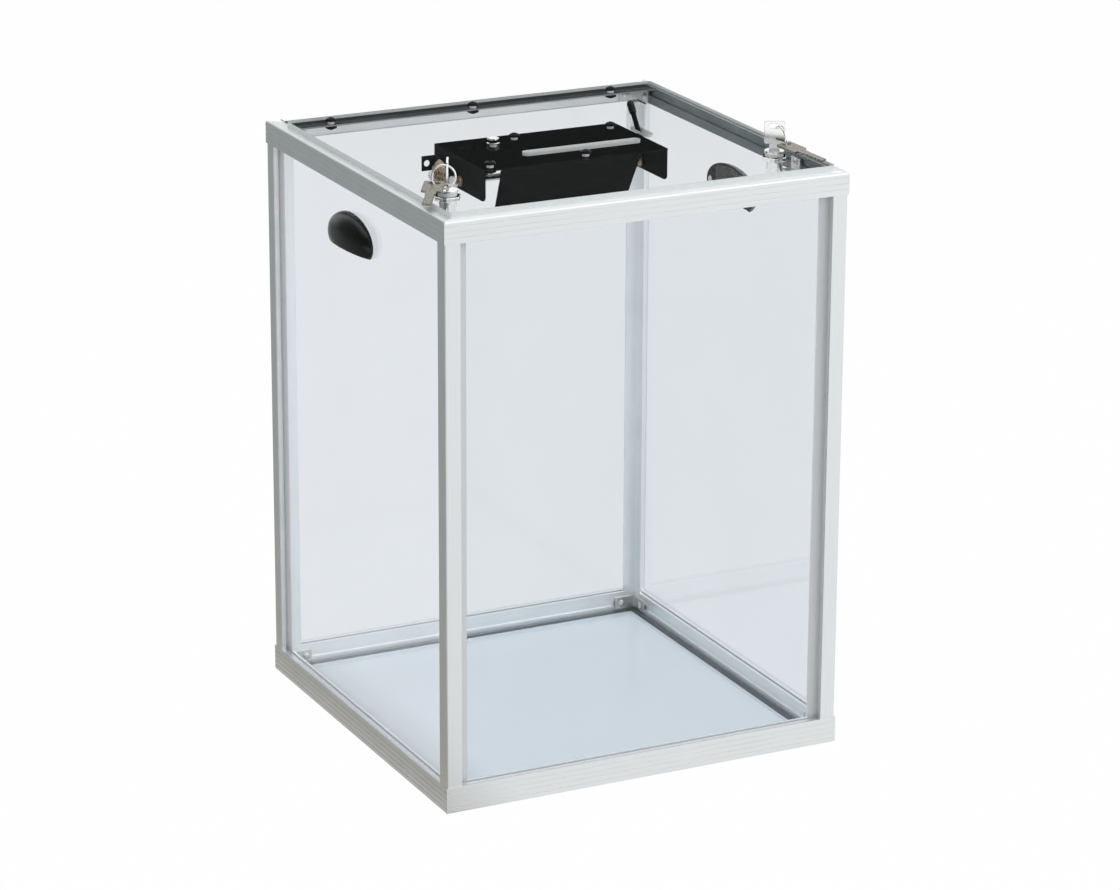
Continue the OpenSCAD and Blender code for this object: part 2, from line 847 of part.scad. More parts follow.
// Close-wound coil round the shaft, drawn as a sleeve, with one straight leg up to the plate.
module return_spring() {
    wire_r = 0.7;
    leg_r = wire_r - 0.1;
    coil_r = shaft_r + wire_r + 0.8;
    coil_len = 9;
    start = plate_right - sheet_t - 16;
    color(bright) {
        difference() {
            shaft_line(coil_r + wire_r, start, start + coil_len);
            shaft_line(coil_r - wire_r, start - 1, start + coil_len + 1);
        }
        translate([start + 2 * wire_r, shaft_y + coil_r, shaft_z])
            cylinder(r = leg_r, h = plate_low - shaft_z, $fn = 24);
    }
}

// ---- counter

module wheel_at(i) {
    first = counter_x - window_w / 2;
    translate([first + i * wheel_pitch + (wheel_pitch - wheel_t) / 2, counter_y, wheel_z])
        rotate([0, 90, 0]) difference() {
            cylinder(r = wheel_r, h = wheel_t);
            translate([0, 0, -1]) cylinder(r = axle_r + run_gap, h = wheel_t + 2);
        }
}

module counter_case() {
    low = counter_high - counter_h;
    bore = [counter_w - 2 * counter_wall, counter_d - 2 * counter_wall, counter_h];
    color(steel) difference() {
        translate([counter_x - counter_w / 2, counter_y - counter_d / 2, low])
            cube([counter_w, counter_d, counter_h]);
        translate([counter_x - bore[0] / 2, counter_y - bore[1] / 2, low + counter_wall])
            cube([bore[0], bore[1], counter_h - 2 * counter_wall]);
        translate([counter_x - window_w / 2, counter_y - window_d / 2, counter_high - 5])
            cube([window_w, window_d, 10]);
        counter_axle_form(axle_r + thin);
    }
}

module counter_axle_form(r) {
    translate([counter_x - counter_w / 2, counter_y, wheel_z]) rotate([0, 90, 0])
        cylinder(r = r, h = counter_w);
}

module counter_axle() {
    color(bright) counter_axle_form(axle_r);
}

module counter_carry_wheels() {
    color("white") for (i = [0 : wheel_count - 2]) wheel_at(i);
}

module counter_units_wheel() {
    color("white") wheel_at(wheel_count - 1);
}

module counter_stud() {
    color(bright) translate([stud_x, stud_y, 0]) {
        translate([0, 0, lid_high]) cylinder(r = 5.8, h = 1);
        translate([0, 0, lid_high + 1]) cylinder(r = 5.6, h = 4.5, $fn = 6);
        translate([0, 0, plate_low - 4]) cylinder(r = stud_r, h = lid_high - plate_low + 4.5);
        translate([0, 0, plate_low - 3]) cylinder(r = 5.2, h = 3, $fn = 6);
    }
}

// ---- bell

module bell_bracket() {
    ear_t = 1.5;
    low = shaft_z - 4;
    color(steel) difference() {
        union() {
            translate([plate_left - ear_t, gong_y + gong_r - 2, low]) cube([ear_t, 14, 16]);
            translate([plate_left - 14, gong_y + gong_r + 12 - ear_t, low + 2]) cube([14, ear_t, 14]);
        }
        translate([plate_left - 9, 0, shaft_z + 5]) rotate([-90, 0, 0]) cylinder(r = 3, h = box_d);
    }
}

module bell_gong() {
    dome_r = (gong_r * gong_r + gong_depth * gong_depth) / (2 * gong_depth);
    color("#8a6f5a") translate([gong_rim_x, gong_y, shaft_z]) rotate([0, -90, 0]) rotate_extrude() {
        difference() {
            intersection() {
                translate([0, gong_depth - dome_r]) circle(dome_r, $fn = 120);
                square([gong_r, gong_depth]);
            }
            translate([0, gong_depth - dome_r]) circle(dome_r - gong_t, $fn = 120);
            translate([-1, -1]) square([1 + bell_stud_r + hole_gap, gong_depth + 2]);
        }
    }
}

module bell_stud() {
    tip = gong_rim_x - gong_depth - 3.5;
    color(bright) {
        bell_stud_line(bell_stud_r, tip, plate_left + sheet_t + 3);
        bell_stud_line(4, tip + 1, gong_rim_x - gong_depth);
        bell_stud_line(4, gong_rim_x - gong_depth + gong_t + 0.55, plate_left);
        bell_stud_line(4, plate_left + sheet_t, plate_left + sheet_t + 2);
    }
}

// ---- lever and the pieces that turn with it

module shaft_arm(x, lean) {
    translate([x, shaft_y, shaft_z]) rotate([-lean, 0, 0]) children();
}

module hub(x, r, w) {
    difference() {
        shaft_line(r, x - w / 2, x + w / 2);
        shaft_line(shaft_r, x - w, x + w);
    }
}

module lever_shaft() {
    color(bright) shaft_line(shaft_r, shaft_left, shaft_right);
}

module lever_arm() {
    color(steel) difference() {
        union() {
            shaft_line(lever_hub_r, lever_x - lever_hub_w / 2, lever_x + lever_hub_w / 2);
            shaft_arm(lever_x, lever_lean) cylinder(r = lever_rod_r, h = lever_len - 2);
        }
        shaft_line(shaft_r, lever_x - lever_hub_w, lever_x + lever_hub_w);
    }
}

module lever_grip() {
    color(steel) shaft_arm(lever_x, lever_lean) difference() {
        union() {
            translate([0, 0, lever_len - grip_len]) cylinder(r = grip_r, h = grip_len - grip_r);
            translate([0, 0, lever_len - grip_r]) sphere(grip_r);
        }
        translate([0, 0, lever_len - grip_len - 1]) cylinder(r = lever_rod_r, h = grip_len - 1);
    }
}

module shutter_crank() {
    color(bright) difference() {
        union() {
            shaft_line(lever_hub_r, crank_x - crank_w / 2, crank_x + crank_w / 2);
            shaft_arm(crank_x, crank_lean) {
                translate([-crank_w / 2, -crank_arm_half, 0]) cube([crank_w, 2 * crank_arm_half, crank_r]);
                translate([-crank_w / 2, 0, crank_r]) rotate([0, 90, 0])
                    cylinder(r = crank_pin_r, h = crank_w);
            }
        }
        shaft_line(shaft_r, crank_x - crank_w, crank_x + crank_w);
    }
}

module bell_striker() {
    head_at = striker_reach - striker_head_r;
    color(bright) difference() {
        union() {
            shaft_line(lever_hub_r, shaft_left, shaft_left + 4);
            shaft_arm(striker_x, 90 + lever_swing + 5) {
                cylinder(r = 1.2, h = head_at);
                translate([0, 0, head_at]) sphere(striker_head_r);
            }
        }
        shaft_line(shaft_r, shaft_left - 1, shaft_left + 12);
    }
}

// ---- locks and keys

module at_lock(side) {
    translate([side * lock_x, lock_y, 0]) children();
}

module lock_body(side) {
    color(bright) at_lock(side) difference() {
        union() {
            translate([0, 0, lid_high]) cylinder(r = lock_head_r, h = lock_head_t);
            translate([0, 0, barrel_low]) cylinder(r = lock_barrel_r, h = lock_barrel_len + 0.5);
        }
        translate([0, 0, barrel_low - 1]) cylinder(r = lock_plug_r + run_gap, h = 40);
    }
}

module lock_nuts() {
    color(bright) for (s = [-1, 1]) at_lock(s) difference() {
        translate([0, 0, lid_low - nut_h]) cylinder(r = nut_r, h = nut_h, $fn = 6);
        translate([0, 0, lid_low - nut_h - 1]) cylinder(r = lock_barrel_r + thin, h = nut_h + 2);
    }
}

function key_set(side) = side < 0 ? left_set : right_set;

module lock_plug(side) {
    color(bright) at_lock(side) difference() {
        union() {
            translate([0, 0, cam_high]) cylinder(r = lock_plug_r, h = lock_top - cam_high);
            translate([0, 0, cam_low]) linear_extrude(cam_t + 1) square(cam_square, center = true);
            translate([0, 0, cam_low - cam_screw_h]) cylinder(r = cam_screw_r, h = cam_screw_h);
        }
        rotate([0, 0, key_set(side)[0]])
            translate([-key_t / 2 - free_gap, -key_blade_w / 2 - free_gap, lock_top - keyway_depth])
                cube([key_t + 2 * free_gap, key_blade_w + 2 * free_gap, keyway_depth + 1]);
    }
}

// The cams point to the front when the lid is free, and turn outwards under the keepers.
module lock_cam(side) {
    color(bright) at_lock(side) translate([0, 0, cam_low]) linear_extrude(cam_t) difference() {
        union() {
            circle(cam_w / 2);
            translate([-cam_w / 2, -cam_len + cam_w / 2]) square([cam_w, cam_len - cam_w / 2]);
            translate([0, -cam_len + cam_w / 2]) circle(cam_w / 2);
        }
        square(cam_square + 2 * thin, center = true);
    }
}

// A key standing on its blade, flat in the YZ plane, with the foot of its neck at the origin.
module key_form() {
    w = key_head_w;
    translate([-key_t / 2, 0, 0]) rotate([90, 0, 90]) linear_extrude(key_t) difference() {
        union() {
            translate([-key_blade_w / 2, -key_blade_len]) square([key_blade_w, key_blade_len + 1]);
            translate([-key_neck_w / 2, 0]) square([key_neck_w, key_neck_h + 1]);
            translate([-w / 2, key_neck_h]) rounded_plate(w, key_head_h, 2);
        }
        for (s = [-1, 1]) translate([s * (key_hole_w - key_hole_h) / 2, key_neck_h + key_head_h - key_hole_down])
            circle(key_hole_h / 2);
        translate([-(key_hole_w - key_hole_h) / 2, key_neck_h + key_head_h - key_hole_down - key_hole_h / 2])
            square([key_hole_w - key_hole_h, key_hole_h]);
        for (i = [0 : 3]) translate([key_blade_w / 2, -key_blade_len + 3 + i * 4]) circle(0.9);
    }
}

module key(side) {
    color(bright) at_lock(side) translate([0, 0, lock_top]) rotate([0, 0, key_set(side)[0]]) key_form();
}

// The frame of a ring: its top in the key's eye, leaning out so that its foot clears the key's neck.
module at_ring(side) {
    at_lock(side) rotate([0, 0, key_set(side)[0]]) translate([0, ring_eye_y, ring_eye_z])
        rotate([-ring_lean, 0, 0]) rotate([0, 0, key_set(side)[1]]) rotate([0, ring_tilt, 0])
            translate([0, 0, -ring_mid_r]) children();
}

module key_ring(side) {
    color(bright) at_ring(side) rotate([90, 0, 0]) rotate_extrude()
        translate([ring_mid_r, 0]) circle(ring_wire_r, $fn = 24);
}

// The spare key hangs by its eye from the low side of the ring, with its blade down to the lid.
module spare_key(side) {
    color(bright) at_ring(side)
        translate([ring_mid_r * cos(ring_low_angle), 0, ring_mid_r * sin(ring_low_angle)])
            rotate([0, -ring_tilt, 0]) rotate([0, 0, -key_set(side)[1]]) rotate([ring_lean, 0, 0])
                rotate([0, 0, key_set(side)[1] + key_set(side)[2]]) rotate([spare_dip - 90, 0, 0])
                    rotate([0, 0, 90]) translate([0, 0, key_hole_down - key_neck_h - key_head_h]) key_form();
}

base_rail(0);  // base_rail_front
base_rail(1);  // base_rail_right
base_rail(2);  // base_rail_back
base_rail(3);  // base_rail_left
post(-1, -1);  // post_front_left
post(1, -1);  // post_front_right
post(1, 1);  // post_back_right
post(-1, 1);  // post_back_left
top_rail(0);  // top_rail_front
top_rail(1);  // top_rail_right
top_rail(2);  // top_rail_back
top_rail(3);  // top_rail_left
side_panel(0);  // panel_front
side_panel(1);  // panel_right
side_panel(2);  // panel_back
side_panel(3);  // panel_left
floor_panel();
base_corner_brackets();
top_corner_brackets();
frame_screws();
handle(-1);  // handle_left
handle(1);  // handle_right
lock_keepers();
hinge_fixed_leaf();
hinge_pin();
lid_panel();
hinge_moving_leaf();
lid_screws();
slot_housing();
slot_chute();
shutter_guides();
shaft_bushes();
return_spring();
counter_case();
counter_axle();
counter_carry_wheels();
counter_units_wheel();
counter_stud();
bell_bracket();
bell_gong();
bell_stud();
lever_shaft();
lever_arm();
lever_grip();
shutter_crank();
bell_striker();
shutter_plate();
lock_body(-1);  // lock_body_left
lock_body(1);  // lock_body_right
lock_nuts();
lock_plug(-1);  // lock_plug_left
lock_plug(1);  // lock_plug_right
lock_cam(-1);  // lock_cam_left
lock_cam(1);  // lock_cam_right
key(-1);  // key_left
key(1);  // key_right
key_ring(-1);  // key_ring_left
key_ring(1);  // key_ring_right
spare_key(-1);  // spare_key_left
spare_key(1);  // spare_key_right
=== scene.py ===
"""Clear collection box with a counting slot mechanism: finishes, detailed pieces, floor, lights and camera.

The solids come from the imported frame. Sizes are in millimetres in the classes below and are turned into
metres where a mesh is made. X runs to the right, Y to the back and Z up.
"""

import logging
import math
from collections.abc import Iterable, Sequence
from dataclasses import dataclass, replace
from enum import Enum

import bmesh
import bpy
from mathutils import Matrix, Vector


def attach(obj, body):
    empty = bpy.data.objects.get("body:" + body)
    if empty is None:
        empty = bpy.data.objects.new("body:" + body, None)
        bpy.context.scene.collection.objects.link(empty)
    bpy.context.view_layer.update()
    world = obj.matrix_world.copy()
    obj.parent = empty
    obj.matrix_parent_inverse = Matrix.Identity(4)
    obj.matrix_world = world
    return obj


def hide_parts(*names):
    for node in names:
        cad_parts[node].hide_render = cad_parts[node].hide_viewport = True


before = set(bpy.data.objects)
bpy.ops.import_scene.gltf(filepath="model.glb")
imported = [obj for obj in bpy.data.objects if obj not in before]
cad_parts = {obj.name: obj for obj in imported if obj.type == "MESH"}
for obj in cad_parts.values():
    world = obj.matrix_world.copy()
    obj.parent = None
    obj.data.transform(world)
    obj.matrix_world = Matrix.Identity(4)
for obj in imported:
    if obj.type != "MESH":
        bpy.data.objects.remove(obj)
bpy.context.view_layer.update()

log = logging.getLogger("collection_box")

Form = bmesh.types.BMesh
Node = bpy.types.Node
Socket = bpy.types.NodeSocket
Group = bpy.types.NodeTree
Colour = tuple[float, float, float]
Point = tuple[float, float, float]
MM = 0.001
LID_TOP = 555.0
PLATE_LOW = 548.5
WHITE: Colour = (1.0, 1.0, 1.0)
# Light Path counts are whole numbers, so each limit lies halfway below the one it is named for. A sheet
# counts twice, at its two faces.
FIRST_BOUNCE = 0.5
SECOND_BOUNCE = 1.5
SECOND_SHEET = 2.5


class Axis(Enum):
    """The direction in which a bar was extruded or brushed."""

    X = (1.0, 0.0, 0.0)
    Y = (0.0, 1.0, 0.0)
    Z = (0.0, 0.0, 1.0)

    def stretch(self, along: float, across: float) -> Point:
        """The scale of a grain that is drawn out along this axis."""
        return tuple(along if part else across for part in self.value)


class Side(Enum):
    """The left or the right half of the box."""

    LEFT = -1
    RIGHT = 1

    @property
    def word(self) -> str:
        """The word used in node names."""
        return self.name.lower()


# ---------------------------------------------------------------- node trees


class Tree:
    """A node tree with short calls to add and join nodes."""

    def __init__(self, tree: Group) -> None:
        """Keeps the tree that the calls work on."""
        self.tree = tree

    def fill(self, node: Node, inputs: dict[str | int, object]) -> None:
        """Fills a node's inputs.

        Args:
            node: The node.
            inputs: A socket, a number or a plain colour for each input, by the input's name or number.
        """
        for name, value in inputs.items():
            target = node.inputs[name]
            if isinstance(value, Socket):
                self.tree.links.new(value, target)
            else:
                target.default_value = (*value, 1.0) if target.type == "RGBA" else value

    def add(self, kind: str, inputs: dict[str | int, object] | None = None, **settings: object) -> Node:
        """Adds a node.

        Args:
            kind: The node's type name, without the words ShaderNode in front.
            inputs: What goes into its inputs.
            settings: Attributes of the node.

        Returns:
            The new node.
        """
        node = self.tree.nodes.new(kind if kind.startswith("NodeGroup") else "ShaderNode" + kind)
        for name, value in settings.items():
            setattr(node, name, value)
        self.fill(node, inputs or {})
        return node

    def maths(self, operation: str, first: object, second: object = 0.0) -> Socket:
        """The result of an operation on two sockets or numbers."""
        return self.add("Math", {0: first, 1: second}, operation=operation).outputs[0]

    def ramp(self, value: Socket, low: float, high: float, start: float = 0.0, end: float = 1.0) -> Socket:
        """A value that runs from start to end while another one runs from low to high."""
        spans = {"Value": value, "From Min": low, "From Max": high, "To Min": start, "To Max": end}
        return self.add("MapRange", spans, clamp=True).outputs[0]

    def blend(self, factor: Socket, first: object, second: object) -> Socket:
        """A mix of two plain colours or sockets, the first of them at a factor of 0."""
        return self.add("Mix", {"Factor": factor, 6: first, 7: second}, data_type="RGBA").outputs[2]

    def effect(self, group: Group, place: Socket, **inputs: object) -> Node:
        """Adds a shared effect that reads a place."""
        return self.add("Group", {"Vector": place, **inputs}, node_tree=group)


def node_group(
    name: str, inputs: dict[str, float | Point], outputs: dict[str, str]
) -> tuple[Tree, Node, Node]:
    """Makes an empty node group that reads a place.

    Args:
        name: The group's name.
        inputs: The default of each further input, with three numbers for a vector.
        outputs: The kind of each output.

    Returns:
        Its Tree, and its input and output nodes.
    """
    group = bpy.data.node_groups.new(name, "ShaderNodeTree")
    for label, default in {"Vector": (0.0, 0.0, 0.0), **inputs}.items():
        kind = "Vector" if isinstance(default, tuple) else "Float"
        socket = group.interface.new_socket(name=label, in_out="INPUT", socket_type=f"NodeSocket{kind}")
        socket.default_value = default
    for label, kind in outputs.items():
        group.interface.new_socket(name=label, in_out="OUTPUT", socket_type=f"NodeSocket{kind}")
    tree = Tree(group)
    return tree, tree.add("NodeGroupInput"), tree.add("NodeGroupOutput")


class Effects:
    """The surface effects that several finishes share, each a node group that is built once.

    A span says between which values of a noise, or of the cosine at an edge, an effect comes in.
    """

    grain_span = (0.3, 0.7)
    smudge_span = (0.35, 0.65)
    edge_span = (0.99, 0.85)
    broken_span = (0.42, 0.6)
    broken_scale = 400.0

    def __init__(self) -> None:
        """Builds the groups."""
        self.grain = self._grain()
        self.smudges = self._smudges()
        self.worn_edges = self._worn_edges()

    def _grain(self) -> Group:
        """Fine streaks, drawn out by the stretch.

        Returns:
            The node group.
        """
        tree, start, end = node_group("drawn_grain", {"Stretch": (1.0, 1.0, 1.0)}, {"Mask": "Float"})
        ports = start.outputs
        drawn = tree.add("Mapping", {"Vector": ports["Vector"], "Scale": ports["Stretch"]}).outputs[0]
        noise = tree.add("TexNoise", {"Vector": drawn, "Scale": 1.0, "Detail": 3.0, "Roughness": 0.65})
        tree.fill(end, {"Mask": tree.ramp(noise.outputs[0], *self.grain_span)})
        return tree.tree

    def _smudges(self) -> Group:
        """Soft patches, as hands and cloths leave.

        Returns:
            The node group.
        """
        inputs = {"Scale": 30.0, "Low": 0.0, "High": 1.0}
        tree, start, end = node_group("handling_smudges", inputs, {"Value": "Float"})
        ports = start.outputs
        noise = tree.add(
            "TexNoise", {"Vector": ports["Vector"], "Scale": ports["Scale"], "Detail": 2.0, "Distortion": 0.6}
        )
        spread = tree.maths("SUBTRACT", ports["High"], ports["Low"])
        scaled = tree.maths("MULTIPLY", tree.ramp(noise.outputs[0], *self.smudge_span), spread)
        tree.fill(end, {"Value": tree.maths("ADD", scaled, ports["Low"])})
        return tree.tree

    def _worn_edges(self) -> Group:
        """A mask that is 1 along edges, broken up by noise, which finishes use for wear and the keys for
        painted dark outlines, and the normal of a rounded edge.

        Returns:
            The node group.
        """
        outputs = {"Mask": "Float", "Normal": "Vector"}
        tree, start, end = node_group("edge_wear_and_shade", {"Radius": 0.0004}, outputs)
        ports = start.outputs
        rounded = tree.add("Bevel", {"Radius": ports["Radius"]}, samples=4).outputs[0]
        flat = tree.add("NewGeometry").outputs["Normal"]
        dot = tree.add("VectorMath", {0: rounded, 1: flat}, operation="DOT_PRODUCT")
        noise = tree.add("TexNoise", {"Vector": ports["Vector"], "Scale": self.broken_scale})
        edge = tree.ramp(dot.outputs["Value"], *self.edge_span)
        broken = tree.maths("MULTIPLY", edge, tree.ramp(noise.outputs[0], *self.broken_span))
        tree.fill(end, {"Mask": broken, "Normal": rounded})
        return tree.tree


# ---------------------------------------------------------------- finishes


def new_material(name: str) -> tuple[bpy.types.Material, Tree, Node]:
    """Makes a material with nodes.

    Args:
        name: The material's name.

    Returns:
        The material, its Tree and its Principled shader.
    """
    material = bpy.data.materials.new(name)
    material.use_nodes = True
    return material, Tree(material.node_tree), material.node_tree.nodes["Principled BSDF"]


def shades(colour: Colour, spread: float) -> tuple[Colour, Colour]:
    """Shades on both sides of a colour.

    Args:
        colour: The colour.
        spread: How far they lie from it, as a share of it.

    Returns:
        The darker and the lighter shade.
    """
    dark = tuple(c * (1 - spread) for c in colour)
    light = tuple(min(1.0, c * (1 + spread)) for c in colour)
    return dark, light


@dataclass(frozen=True)
class Metal:
    """A metal with drawn grain, smudges and an edge colour, which is wear on most finishes and a painted dark
    outline on the keys; a metal with an inner colour gets painted light or shade on its inner faces.
    """

    name: str
    colour: Colour
    # Along edges the colour turns to the one below: worn metal on most finishes, and near black on the keys,
    # which is a painted dark outline.
    worn: Colour
    roughness: float
    metallic: float = 1.0
    specular: float = 0.5
    stretch: Point = (900.0, 900.0, 900.0)
    grain_tone: float = 0.08
    grain_rough: float = 0.1
    grain_bump: float = 0.00002
    smudge: float = 0.04
    edge: float = 0.00035
    wear: float = 0.5
    # The inner colour is painted on the inner faces of a bar: painted light where it is lighter than the
    # outer colour, painted shade where it is darker. The groove colour is white painted light in the glazing
    # grooves.
    inner: Colour | None = None
    inner_metallic: float = 1.0
    outer_face: float = 0.1985
    top_face: float = 1.0
    face_blend: float = 0.0008
    strip_inside: tuple[float, float] = (0.1893, 0.1896)
    strip_outside: tuple[float, float] = (0.1944, 0.1942)
    strip_top: tuple[float, float] = (0.5285, 0.528)
    strip_colour: Colour = WHITE

    def build(self, effects: Effects) -> bpy.types.Material:
        """Makes the material.

        Args:
            effects: The shared node groups.

        Returns:
            The material.
        """
        material, tree, shader = new_material(self.name)
        place = tree.add("TexCoord").outputs["Object"]
        low, high = self.roughness - self.smudge, self.roughness + self.smudge
        grain = tree.effect(effects.grain, place, Stretch=self.stretch).outputs["Mask"]
        smudge = tree.effect(effects.smudges, place, Low=low, High=high).outputs["Value"]
        edges = tree.effect(effects.worn_edges, place, Radius=self.edge).outputs
        body, metallic = tree.blend(grain, *shades(self.colour, self.grain_tone)), self.metallic
        # Painted light or shade on the inner faces, and painted light in the grooves.
        if self.inner:
            body, metallic = self._bare_inside(tree, place, body)
        wear_and_shade_mask = tree.maths("MULTIPLY", edges["Mask"], self.wear)
        rough = tree.maths("MULTIPLY", grain, self.grain_rough)
        bump = tree.add("Bump", {"Distance": self.grain_bump, "Height": grain, "Normal": edges["Normal"]})
        tree.fill(shader, {
            "Base Color": tree.blend(wear_and_shade_mask, body, self.worn),
            "Metallic": metallic,
            "Roughness": tree.maths("ADD", smudge, rough),
            "Specular IOR Level": self.specular,
            "Normal": bump.outputs[0],
        })
        return material

    def _bare_inside(self, tree: Tree, place: Socket, body: Socket) -> tuple[Socket, Socket]:
        """Paints the inner faces of a bar a colour and metalness of their own, which is painted light or
        painted shade, and paints the glazing grooves white, as painted light where they lie in shade.

        Args:
            tree: The material's tree.
            place: Object coordinates.
            body: The colour of the outer faces.

        Returns:
            The colour of all faces, and how metallic they are.
        """
        parts = tree.add("SeparateXYZ", {0: place}).outputs
        beside, ahead = (tree.maths("ABSOLUTE", parts[axis]) for axis in "XY")
        reach = tree.maths("MAXIMUM", beside, ahead)
        outside = tree.ramp(reach, self.outer_face - self.face_blend, self.outer_face)
        above = tree.ramp(parts["Z"], self.top_face - self.face_blend, self.top_face)
        outside = tree.maths("MAXIMUM", outside, above)
        start, end = tree.ramp(reach, *self.strip_inside), tree.ramp(reach, *self.strip_outside)
        groove = tree.maths("MULTIPLY", start, end)
        groove = tree.maths("MULTIPLY", groove, tree.ramp(parts["Z"], *self.strip_top))
        colour = tree.blend(groove, tree.blend(outside, self.inner, body), self.strip_colour)
        metallic = tree.ramp(outside, 0.0, 1.0, self.inner_metallic, self.metallic)
        return colour, tree.maths("MULTIPLY", metallic, tree.maths("SUBTRACT", 1.0, groove))


@dataclass(frozen=True)
class Acrylic:
    """Clear acrylic sheet, tinted through its thickness, that lets lamp light pass straight through."""

    name: str
    colour: Colour
    roughness: float = 0.0
    ior: float = 1.25
    pass_power: float = 0.15
    patch_scale: float = 9.0
    patch_shade: float = 0.992

    def build(self, effects: Effects) -> bpy.types.Material:
        """Makes the material.

        Args:
            effects: The shared node groups.

        Returns:
            The material.
        """
        material, tree, shader = new_material(self.name)
        place = tree.add("TexCoord").outputs["Object"]
        patches = tree.effect(effects.smudges, place, Scale=self.patch_scale).outputs["Value"]
        faint = tuple(c * self.patch_shade for c in self.colour)
        tree.fill(shader, {
            "Base Color": tree.blend(patches, faint, self.colour),
            "Roughness": self.roughness,
            "IOR": self.ior,
            "Transmission Weight": 1.0,
        })
        clear = tree.add("BsdfTransparent", {"Color": tuple(c**self.pass_power for c in self.colour)})
        path = tree.add("LightPath")
        surface = shader.outputs[0]
        for ray in ("Is Diffuse Ray", "Is Shadow Ray"):
            mix = tree.add("MixShader", {0: path.outputs[ray], 1: surface, 2: clear.outputs[0]})
            surface = mix.outputs[0]
        tree.fill(material.node_tree.nodes["Material Output"], {"Surface": surface})
        return material


@dataclass(frozen=True)
class Moulding:
    """Moulded plastic or rubber with a fine skin and smudges."""

    name: str
    colour: Colour
    roughness: float
    specular: float = 0.5
    skin: float = 900.0
    bump: float = 0.00004
    tone: float = 0.1
    smoother: float = 0.05
    duller: float = 0.08

    def build(self, effects: Effects) -> bpy.types.Material:
        """Makes the material.

        Args:
            effects: The shared node groups.

        Returns:
            The material.
        """
        material, tree, shader = new_material(self.name)
        place = tree.add("TexCoord").outputs["Object"]
        low, high = self.roughness - self.smoother, self.roughness + self.duller
        grain = tree.effect(effects.grain, place, Stretch=(self.skin,) * 3).outputs["Mask"]
        smudge = tree.effect(effects.smudges, place, Low=low, High=high).outputs["Value"]
        tree.fill(shader, {
            "Base Color": tree.blend(grain, *shades(self.colour, self.tone)),
            "Roughness": smudge,
            "Specular IOR Level": self.specular,
            "Normal": tree.add("Bump", {"Distance": self.bump, "Height": grain}).outputs[0],
        })
        return material


DRAWN = (12.0, 2600.0)
